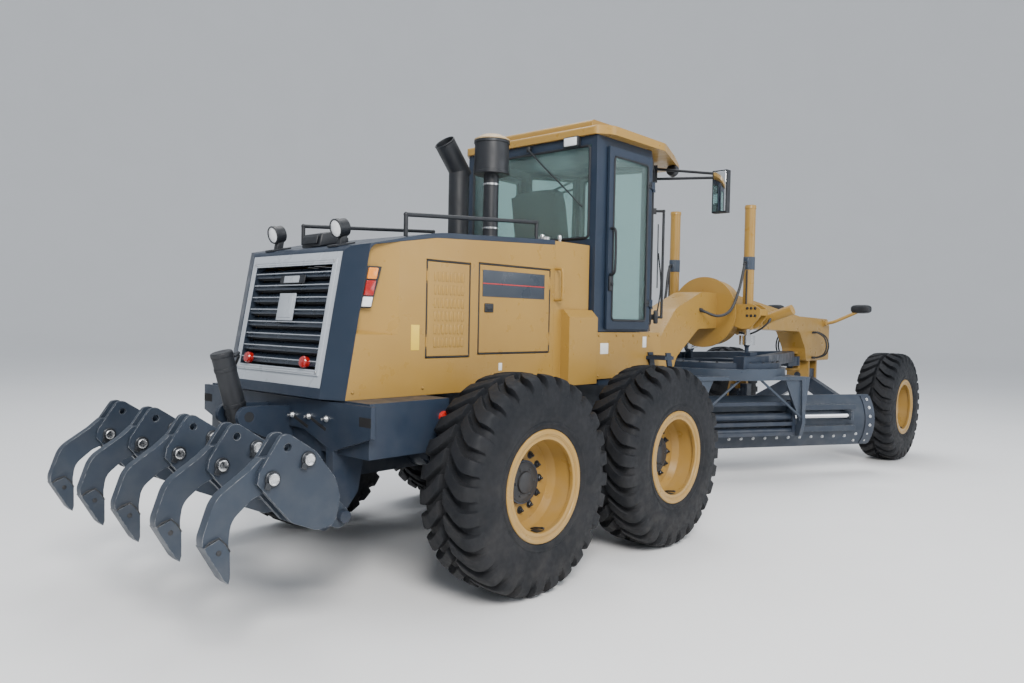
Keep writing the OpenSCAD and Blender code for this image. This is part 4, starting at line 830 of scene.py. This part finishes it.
# %% Ripper dressing
pin_head = [(0.0, 0.0290), (0.008, 0.0300), (0.014, 0.0285), (0.016, 0.0240), (0.0145, 0.0200),
            (0.0145, 0.0010)]
tip_seam = np.array([(-1.9695, 0.604), (-1.950, 0.622), (-1.905, 0.634), (-1.870, 0.600), (-1.850, 0.562)])
heads, tabs, plugs, seams = [], [], [], []
for y, s in [(0.480 * (i - 2), s) for i in range(5) for s in (-1, 1)]:
    out = np.array([0, s, 0.0])
    for x, z in ((-1.650, 0.871), (-1.454, 0.943)):
        spot = at(x, y + s * 0.066, z)
        heads.append(lathe(pin_head, spot, out, 28))
        tabs.append(lathe([(-0.008, 0.040), (-0.001, 0.040), (0.001, 0.037), (0.001, 0.030)], spot, out, 28))
        tabs.append(block(spot + [-0.050, -0.0055 - s * 0.004, -0.038], (0.030, 0, -0.012),
                          (0.012, 0, 0.030), (0, s * 0.009, 0), 0.003))
    plugs.append(lathe([(-0.002, 0.0130), (0.002, 0.0130), (0.003, 0.0105), (0.003, 0.001)],
                       at(-1.905, y + s * 0.040, 0.566), out, 14))
    seams.append(tube(at(tip_seam[:, 0], y + s * 0.0405, tip_seam[:, 1]), 0.0035, 8))
put("ripper_pins", heads, bright_bolt, "ripper")
put("ripper_pin_tabs", tabs, gun_metal, "ripper")
put("tip_pins", plugs, dull_black, "ripper")
put("tip_joints", seams, dull_black, "ripper")
plate_x, astern = -1.006, (-1, 0, 0)
studs = []
for y, z in ((0.480, 1.060), (0.305, 1.060), (0.048, 1.056), (-0.110, 1.056), (-0.173, 1.050),
             (-0.345, 1.057), (-0.520, 1.058)):
    studs += bolt(at(plate_x, y, z), astern, 0.015)
    studs.append(lathe([(0.012, 0.008), (0.034, 0.008), (0.036, 0.006)], at(plate_x, y, z), astern, 10))
put("rear_plate_bolts", studs, bright_bolt)
# Painted shade: four slanted strips are painted shadows cast by the bolts, and two straight plates paint the
# shade of openings.
painted_shade_strips = []
for y0, z0, y1, z1 in ((-0.185, 1.043, -0.335, 0.992), (-0.360, 1.050, -0.515, 0.994),
                       (0.185, 1.043, 0.335, 0.992), (0.360, 1.050, 0.515, 0.994)):
    run = np.array([0, y1 - y0, z1 - z0])
    up = np.cross([1, 0, 0], unit(run)) * 0.020
    painted_shade_strips.append(block(at(plate_x - 0.0005, y0, z0) - up / 2, run, up, (0.003, 0, 0), 0.0012))
painted_shade_strips += [block(at(plate_x - 0.0005, y, 1.045), (0, 0.105, 0), (0, 0, 0.052), (0.003, 0, 0), 0.0012)
          for y in (-0.932, 0.827)]
put("rear_plate_painted_shade", painted_shade_strips, deep_shadow)
print("pins", len(heads))

# %% [markdown]
# ## The ripper's cylinder
# A welded end cap and a gland ring are turned onto the barrel's line. A steel pipe runs along the barrel
# in two clamps, and a short hose leads from the cylinder's top towards it. The cylinder leans, so a helper
# gives points along and beside its own line.

# %% Ripper cylinder
top, foot = np.array([-1.270, 0, 1.050]), np.array([-1.170, 0, 0.700])
ram = unit(foot - top)


def on_ram(t, side=0.0, out=0.0):
    """A point beside the cylinder: t along its line, side to the left, out to the rear."""
    return at(*(top + ram * t + np.array([0, side, 0]) + out * np.array([ram[2], 0, -ram[0]])))


rings = [lathe([(-0.002, 0.058), (0.004, 0.0640), (0.020, 0.0655), (0.026, 0.0640), (0.030, 0.0615)],
               on_ram(-0.390), ram),
         lathe([(0, 0.0615), (0.002, 0.0660), (0.030, 0.0660), (0.034, 0.0630), (0.040, 0.0615)],
               on_ram(0.045), ram)]
for t in (-0.300, -0.080):
    rings.append(lathe([(0, 0.0615), (0.001, 0.0650), (0.021, 0.0650), (0.022, 0.0615)], on_ram(t), ram))
    rings.append(block(on_ram(t + 0.002, 0.060, -0.014), on_ram(t + 0.020) - on_ram(t), (0, 0.030, 0),
                       on_ram(0, 0, 0.028) - on_ram(0), 0.004))
put("ripper_barrel_rings", rings, dull_black, "ripper_barrel")
pipe = [on_ram(t, side) for t, side in ((0.055, 0.064), (0.040, 0.084), (-0.05, 0.084), (-0.340, 0.084),
                                        (-0.365, 0.080), (-0.375, 0.058))]
put("ripper_pipe", [tube(smooth_path(pipe, 30), 0.0085)], gun_metal, "ripper_barrel")
print("barrel leans", round(math.degrees(math.atan2(ram[0], -ram[2])), 1), "degrees")

# %% [markdown]
# ## The lift cylinders and their saddle
# Each barrel gets a turned gland ring, a top cap and a grey clamp, which holds the pipe that feeds its
# lower end. Their profiles hold heights, so that each step of the cylinder can be measured off its line.
# Clusters of bolts join the yokes to the arms.

# %% Lift cylinder details
gland_ring = [(1.598, 0.034), (1.598, 0.060), (1.603, 0.0635), (1.640, 0.0635), (1.648, 0.060),
              (1.652, 0.0572)]
top_cap = [(2.900, 0.0570), (2.902, 0.0610), (2.930, 0.0610), (2.939, 0.0560), (2.9395, 0.001)]
clamp_band = [(2.243, 0.0572), (2.245, 0.0615), (2.381, 0.0615), (2.383, 0.0572)]
pipe = [(4.392, 0.475, 1.665), (4.372, 0.478, 1.700), (4.370, 0.478, 2.0), (4.370, 0.478, 2.235)]
for side, s in sides.items():
    foot, body = at(4.450, s * 0.460, 0), f"lift_barrel_{side}"
    put(f"lift_rings_{side}", [lathe(profile, foot, upward, 44) for profile in (gland_ring, top_cap)],
        gold_enamel, body)
    clamp = [lathe(clamp_band, foot, upward, 44),
             brick((4.378, s * 0.460 - 0.020, 2.252), (0.022, 0.040, 0.120), 0.005)]
    put(f"lift_clamp_{side}", clamp, ring_enamel, body)
    put(f"lift_pipe_{side}", [tube(smooth_path(places(pipe, s), 20), 0.0085)], gun_metal, body)
    cluster = []
    for x, ahead in ((4.353, -1), (4.547, 1)):
        spots = [at(x, s * y, z) for y in (0.500, 0.545, 0.590) for z in (1.745, 1.825)]
        cluster += bolts(spots, (ahead, 0, 0), 0.011)
    put(f"yoke_bolts_{side}", cluster, gun_metal, "front")
print("lift cylinders stand at", at(4.450, 0.460, 0)[:2].round(3))

# %% [markdown]
# ## Hoses
# A hose is a circle carried along a smooth curve that sags between its two fittings. A simulated rope would
# sag as well, but its ends would have to be held and its route couldn't be read off the photograph. The
# length is the sum of the curve's steps. Each end has a pressed steel fitting on the hose's own line.


# %% Hoses
def hose(name, points, body, radius):
    """A free hose with its two fittings."""
    path = smooth_path(points, 56)
    run = put(name, [tube(path, radius, 14)], hose_rubber, body)
    profile = [(-0.012, radius * 1.15), (0.008, radius * 1.2), (0.010, radius * 1.5), (0.024, radius * 1.5),
               (0.026, radius * 1.12), (0.048, radius * 1.12), (0.050, radius)]
    ends = [lathe(profile, path[first], unit(path[second] - path[first]), 12)
            for first, second in ((0, 3), (-1, -4))]
    put(name + "_fittings", ends, gun_metal, body)
    length = float(np.linalg.norm(np.diff(path, axis=0), axis=1).sum())
    return length


lift_route = [(3.947, 0.160, 1.800), (3.965, 0.215, 1.775), (4.035, 0.330, 1.735), (4.150, 0.410, 1.800),
              (4.255, 0.445, 2.010), (4.310, 0.460, 2.200), (4.345, 0.460, 2.290), (4.378, 0.460, 2.315)]
axle_route = np.array([(0, 0.160, 1.560), (0.01, 0.215, 1.565), (0.02, 0.315, 1.500), (0.02, 0.350, 1.380),
                       (0.01, 0.315, 1.270), (0, 0.215, 1.225), (0, 0.160, 1.225)])
shift_route = [(4.590, -0.655, 1.712), (4.568, -0.640, 1.672), (4.548, -0.560, 1.600),
               (4.548, -0.430, 1.545), (4.552, -0.330, 1.560)]
ripper_route = [(-0.345, 0, -0.061), (-0.347, 0.004, -0.082), (-0.325, 0.050, -0.125),
                (-0.250, 0.105, -0.100), (-0.160, 0.135, -0.045), (-0.090, 0.122, -0.008),
                (-0.070, 0.094, 0.000)]
total = 0
for side, s in sides.items():
    total += hose(f"lift_hose_{side}", places(lift_route, s), "front", 0.015)
    for i in (0, 1):
        row = places(axle_route + [7.030 + 0.075 * i, 0, 0], s)
        total += hose(f"axle_hose_{side}_{i}", row, "front", 0.010)
total += hose("shift_hose", places(shift_route), "front", 0.010)
total += hose("ripper_hose", [on_ram(*spot) for spot in ripper_route], "ripper_barrel", 0.009)
print("metres of hose", round(total, 2))

# %% [markdown]
# ## Head lamps
# The lamps are oval, so they can't be turned. Their section is a superellipse, whose sine and cosine are
# raised to a power of 0.62 before they are scaled to the oval's two half widths. They stand on short yellow
# arms.


# %% Head lamps
def powered(t, wave, power):
    """A sine or cosine raised to a power that keeps its sign."""
    return np.sign(wave(t)) * np.abs(wave(t)) ** power


def oval(centre, profile, n=48, power=0.62):
    """Rows of (distance along x, share of the full size) round an oval section."""
    t = np.linspace(0, 2 * np.pi, n, endpoint=False)
    y, z = 0.134 * powered(t, np.cos, power), 0.060 * powered(t, np.sin, power)
    rows = [np.stack([np.full(n, x), y * share, z * share], -1) for x, share in profile]
    return shell(np.array(rows) + centre)


bowl_rows = [(-0.044, 0.30), (-0.043, 0.62), (-0.034, 0.84), (-0.012, 0.96), (0.030, 1.00), (0.040, 0.985),
             (0.042, 0.93), (0.034, 0.90)]
lens_rows = [(0.030, 0.91), (0.036, 0.90), (0.042, 0.70), (0.0445, 0.35), (0.045, 0.02)]
arm_route = [(7.450, 0.190, 1.690), (7.470, 0.290, 1.715), (7.520, 0.430, 1.785), (7.548, 0.540, 1.840),
             (7.550, 0.585, 1.865)]
shells, lenses, arms, marks = [], [], [], []
for s in sides.values():
    middle = at(7.552, s * 0.610, 1.893)
    shells.append(oval(middle, bowl_rows))
    lenses.append(oval(middle, lens_rows))
    arms += [brick((7.402, s * 0.1605, 1.642), (0.096, s * 0.012, 0.096), 0.004),
             brick((7.415, s * 0.170, 1.660), (0.070, s * 0.036, 0.060), 0.010),
             tube(smooth_path(places(arm_route, s)), 0.0225, 14)]
    arms += bolts([at(x, s * 0.1725, z) for x in (7.420, 7.478) for z in (1.655, 1.725)], (0, s, 0), 0.006)
    marks.append(brick((5.250, s * 0.1595, 1.760), (0.150, s * 0.0022, 0.070), 0.001))
lamp_shells = put("head_lamp_shells", shells, dull_black, "front")
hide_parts("head_lamps")
put("head_lamp_lenses", lenses, clear_lens, "front")
put("head_lamp_arms", arms, gold_enamel, "front")
put("neck_labels", marks, label_white, "front")
print("head lamps", len(lenses))

# %% [markdown]
# ## The blade
# The blade's places are given in its own frame, which is turned about the circle's middle. The moldboard's
# section is an arc, so the cutting edge, the end bits and the end plates are closed sections between two
# radii and two heights, carried along the blade. Flat plates could be bent by a modifier, but the bolts
# need the arc's formula anyway: they follow it and point along its radius.

# %% Blade dressing
turned = math.radians(60)
circle_x = 4.600
arc_x, arc_z = -0.055, 0.575


def blade(x, y, z):
    """Places in the blade's frame, turned about the circle's middle, as points of the model."""
    return at(circle_x + x * math.cos(turned) - y * math.sin(turned),
              x * math.sin(turned) + y * math.cos(turned), z)


def strip(y0, y1, z0, z1, r0, r1, n=12):
    """A curved plate along the blade: x is the arc's middle less the root of radius squared less height
    squared, up one radius and down the other."""
    rise = np.linspace(z0 - arc_z, z1 - arc_z, n)
    x = np.concatenate([arc_x - np.sqrt(r0 ** 2 - rise ** 2), arc_x - np.sqrt(r1 ** 2 - rise[::-1] ** 2)])
    z = arc_z + np.concatenate([rise, rise[::-1]])
    return shell(np.stack([blade(x, y, z) for y in np.linspace(y0, y1, 3)]))


def arc_bolt(y, z, radius):
    """A bolt on the moldboard's arc, pointing along its radius."""
    rise = z - arc_z
    way = np.array([-math.sqrt(radius ** 2 - rise ** 2), rise]) / radius
    spot = blade(arc_x + way[0] * (radius + 0.0002), y, z)
    return bolt(spot, blade(way[0], 0, way[1]) - blade(0, 0, 0), 0.0125)


edge = [strip(y0, y1, 0.2855, 0.445, 0.4075, 0.390) for y0, y1 in ((-1.828, -0.004), (0.004, 1.828))]
put("cutting_edge", edge, scuffed_steel, "moldboard")
bits = [strip(s * 1.829, s * 1.640, 0.2855, 0.640, 0.3895, 0.378) for s in (-1, 1)]
put("end_bits", bits, scuffed_steel, "moldboard")
plates = [strip(s * 1.829, s * 1.700, 0.300, 0.850, 0.4305, 0.441) for s in (-1, 1)]
put("blade_end_plates", plates, slate_enamel, "moldboard")
fixings = []
for y in np.arange(-11.5, 12) * 0.1524:
    for z in (0.340, 0.420) if abs(y) > 1.6 else (0.400,):
        fixings += arc_bolt(y, z, 0.43)
for s in (-1, 1):
    for z in (0.520, 0.620, 0.720, 0.810):
        fixings += arc_bolt(s * 1.765, z, 0.441)
put("blade_bolts", fixings, bright_bolt, "moldboard")
middle, way = blade(-0.575, 0, 0.650), blade(0, 1, 0) - blade(0, 0, 0)
put("shift_rod_chrome", [lathe([(-1.388, 0.0251), (-0.640, 0.0251)], middle, way, 36)], polished_rod,
    "moldboard")
gland = [lathe([(-0.645, 0.0262), (-0.645, 0.0430), (-0.640, 0.0455), (-0.600, 0.0455), (-0.594, 0.0425)],
               middle, way, 36, ring=True),
         lathe([(0.500, 0.0425), (0.502, 0.0450), (0.519, 0.0450), (0.5215, 0.0420), (0.522, 0.0010)],
               middle, way, 36)]
put("side_shift_glands", gland, dull_black, "blade_carrier")
ring_angles = np.linspace(0, 2 * np.pi, 24, endpoint=False)
ring_spots = at(circle_x + 0.690 * np.cos(ring_angles), 0.690 * np.sin(ring_angles), 1.2403)
put("drawbar_ring_bolts", bolts(ring_spots, upward, 0.013), gun_metal, "drawbar")
print("blade bolts", len(fixings) // 2)

# %% [markdown]
# ## Seat, roof and small fittings
# A scaled ball is too round for a cushion, and a box too sharp. Between them lies the superellipsoid: an
# ellipsoid whose sines and cosines are raised to a small power, which makes it boxy but crowned everywhere.
# The back leans by ten degrees. The steps' treads get grips, and each side gets a red tank cap and a bolted
# cover on its tandem case.


# %% Seat and small fittings
def pillow(centre, half, leans=0.0, power=0.34):
    """A crowned cushion with half sizes along x, y and z, leaning back by an angle."""
    v = np.linspace(-np.pi / 2 + 0.06, np.pi / 2 - 0.06, 18)[:, None]
    u = np.linspace(0, 2 * np.pi, 48, endpoint=False)[None]
    round_v = powered(v, np.cos, power)
    x, y = round_v * powered(u, np.cos, power) * half[0], round_v * powered(u, np.sin, power) * half[1]
    z = powered(v, np.sin, power) * half[2]
    ahead, upright = x * math.cos(leans) - z * math.sin(leans), x * math.sin(leans) + z * math.cos(leans)
    return shell(np.stack([ahead, y, upright], -1) + centre)


cushion = put("seat_cushion", [pillow(at(1.755, 0, 2.030), (0.265, 0.262, 0.085))], seat_cloth)
rest = put("seat_back", [pillow(at(1.485, 0, 2.390), (0.078, 0.255, 0.350), math.radians(10))], seat_cloth)
rests = [brick((2.400, -0.130, 2.900), (0.020, 0.260, 0.070), 0.009)]
for s in sides.values():
    rests += [brick((1.600, s * 0.300 - 0.035, 2.210), (0.320, 0.070, 0.050), 0.020),
              brick((1.620, s * 0.300 - 0.025, 1.940), (0.050, 0.050, 0.280), 0.008)]
put("armrests_and_mirror", rests, dull_black)
t = np.linspace(0, 2 * np.pi, 24, endpoint=False)
eye_ring = tube(at(2.400 + 0.011 * np.cos(t), -0.300, 3.198 + 0.011 * np.sin(t)), 0.004, 10, closed=True)
put("lifting_eye", [eye_ring, brick((2.380, -0.312, 3.170), (0.040, 0.024, 0.020), 0.004)], gun_metal)
lid = [(-0.004, 0.1345), (0.000, 0.1355), (0.006, 0.1340), (0.030, 0.090), (0.0365, 0.080),
       (0.0370, 0.0790), (0.0370, 0.0010)]
put("bowl_lid", [lathe(lid, at(*bowl, 2.999), upward, 48)], tan_plastic)
tank_cap = [(-0.004, 0.034), (0.016, 0.036), (0.024, 0.034), (0.026, 0.028), (0.026, 0.001)]
case_cover = [(-0.002, 0.165), (0.006, 0.163), (0.010, 0.156), (0.010, 0.120), (0.016, 0.112),
              (0.016, 0.001)]
grips, caps = [], []
for side, s in sides.items():
    for z in (0.600, 0.980, 1.340):
        x = 2.325 - (z - 0.560) * 0.230 / 0.840
        grips += [brick((x - 0.062 + 0.0225 * i, s * 0.808 - 0.080, z + 0.0295), (0.008, 0.160, 0.006), 0.002)
                  for i in range(6)]
    caps.append(lathe(tank_cap, at(-0.429, s * 0.880, 1.060), (0, s, 0), 28))
    middle = at(axles["mid"] / 2, s * 0.850, hub_height)
    rim = [middle + [0, s * 0.010, 0] + 0.140 * spoke(a)
           for a in np.linspace(0, 2 * np.pi, 10, endpoint=False)]
    put(f"tandem_cover_{side}", [lathe(case_cover, middle, (0, s, 0), 48)] + bolts(rim, (0, s, 0), 0.0085),
        slate_enamel, f"tandem_{side}")
put("tread_grips", grips, gun_metal)
put("tank_caps", caps, red_line)

# %% [markdown]
# ## The studio
# The floor is a wide pale matt disc whose rim turns up into a wall far away, so that no horizon line shows.
# Its height at a distance r from the middle is zero up to 34 m, then a quarter circle of 16 m, then a wall.
# Three wide soft lamps do the work: a key from behind the camera's right shoulder, a fill from the
# machine's right and one overhead, in an even pale surround.

# %% Studio floor and light
angle = np.linspace(0, 2 * np.pi, 96, endpoint=False)
bend = np.linspace(0, np.pi / 2, 12)
reach = np.concatenate([[0.01, 12, 24], 34 + 16 * np.sin(bend), [50]])[:, None]
height = np.concatenate([[0, 0, 0], 16 - 16 * np.cos(bend), [26]])[:, None]
disc = np.stack(np.broadcast_arrays(reach * np.cos(angle), reach * np.sin(angle), height - 0.002), -1)
pale = finish("pale_floor", (0.86, 0.865, 0.87), (0.82, 0.825, 0.83), patch=0.4, amount=0.3, rough=0.75)
put("studio_floor", [shell(disc, caps=False)], pale, body=None)
world = bpy.data.worlds.new("studio")
world.use_nodes = True
world.node_tree.nodes["Background"].inputs["Color"].default_value = (0.88, 0.93, 1.0, 1)
world.node_tree.nodes["Background"].inputs["Strength"].default_value = 0.72
bpy.context.scene.world = world
lamps = {
    "key": ((-9, -9, 9), 5, 2300, (1.0, 0.97, 0.93)),
    "fill": ((4, -12, 6), 8, 600, (0.93, 0.96, 1.0)),
    "top": ((2, 3, 13), 10, 1100, (1.0, 1.0, 1.0)),
}
for name, (spot, size, watts, tint) in lamps.items():
    light = bpy.data.lights.new(name, "AREA")
    light.energy, light.size, light.color = watts, size, tint
    lamp = bpy.data.objects.new(name, light)
    lamp.location = spot
    lamp.rotation_euler = (Vector((0, 0, 1)) - Vector(spot)).to_track_quat("-Z", "Y").to_euler()
    bpy.context.scene.collection.objects.link(lamp)
print("lamps", list(lamps))
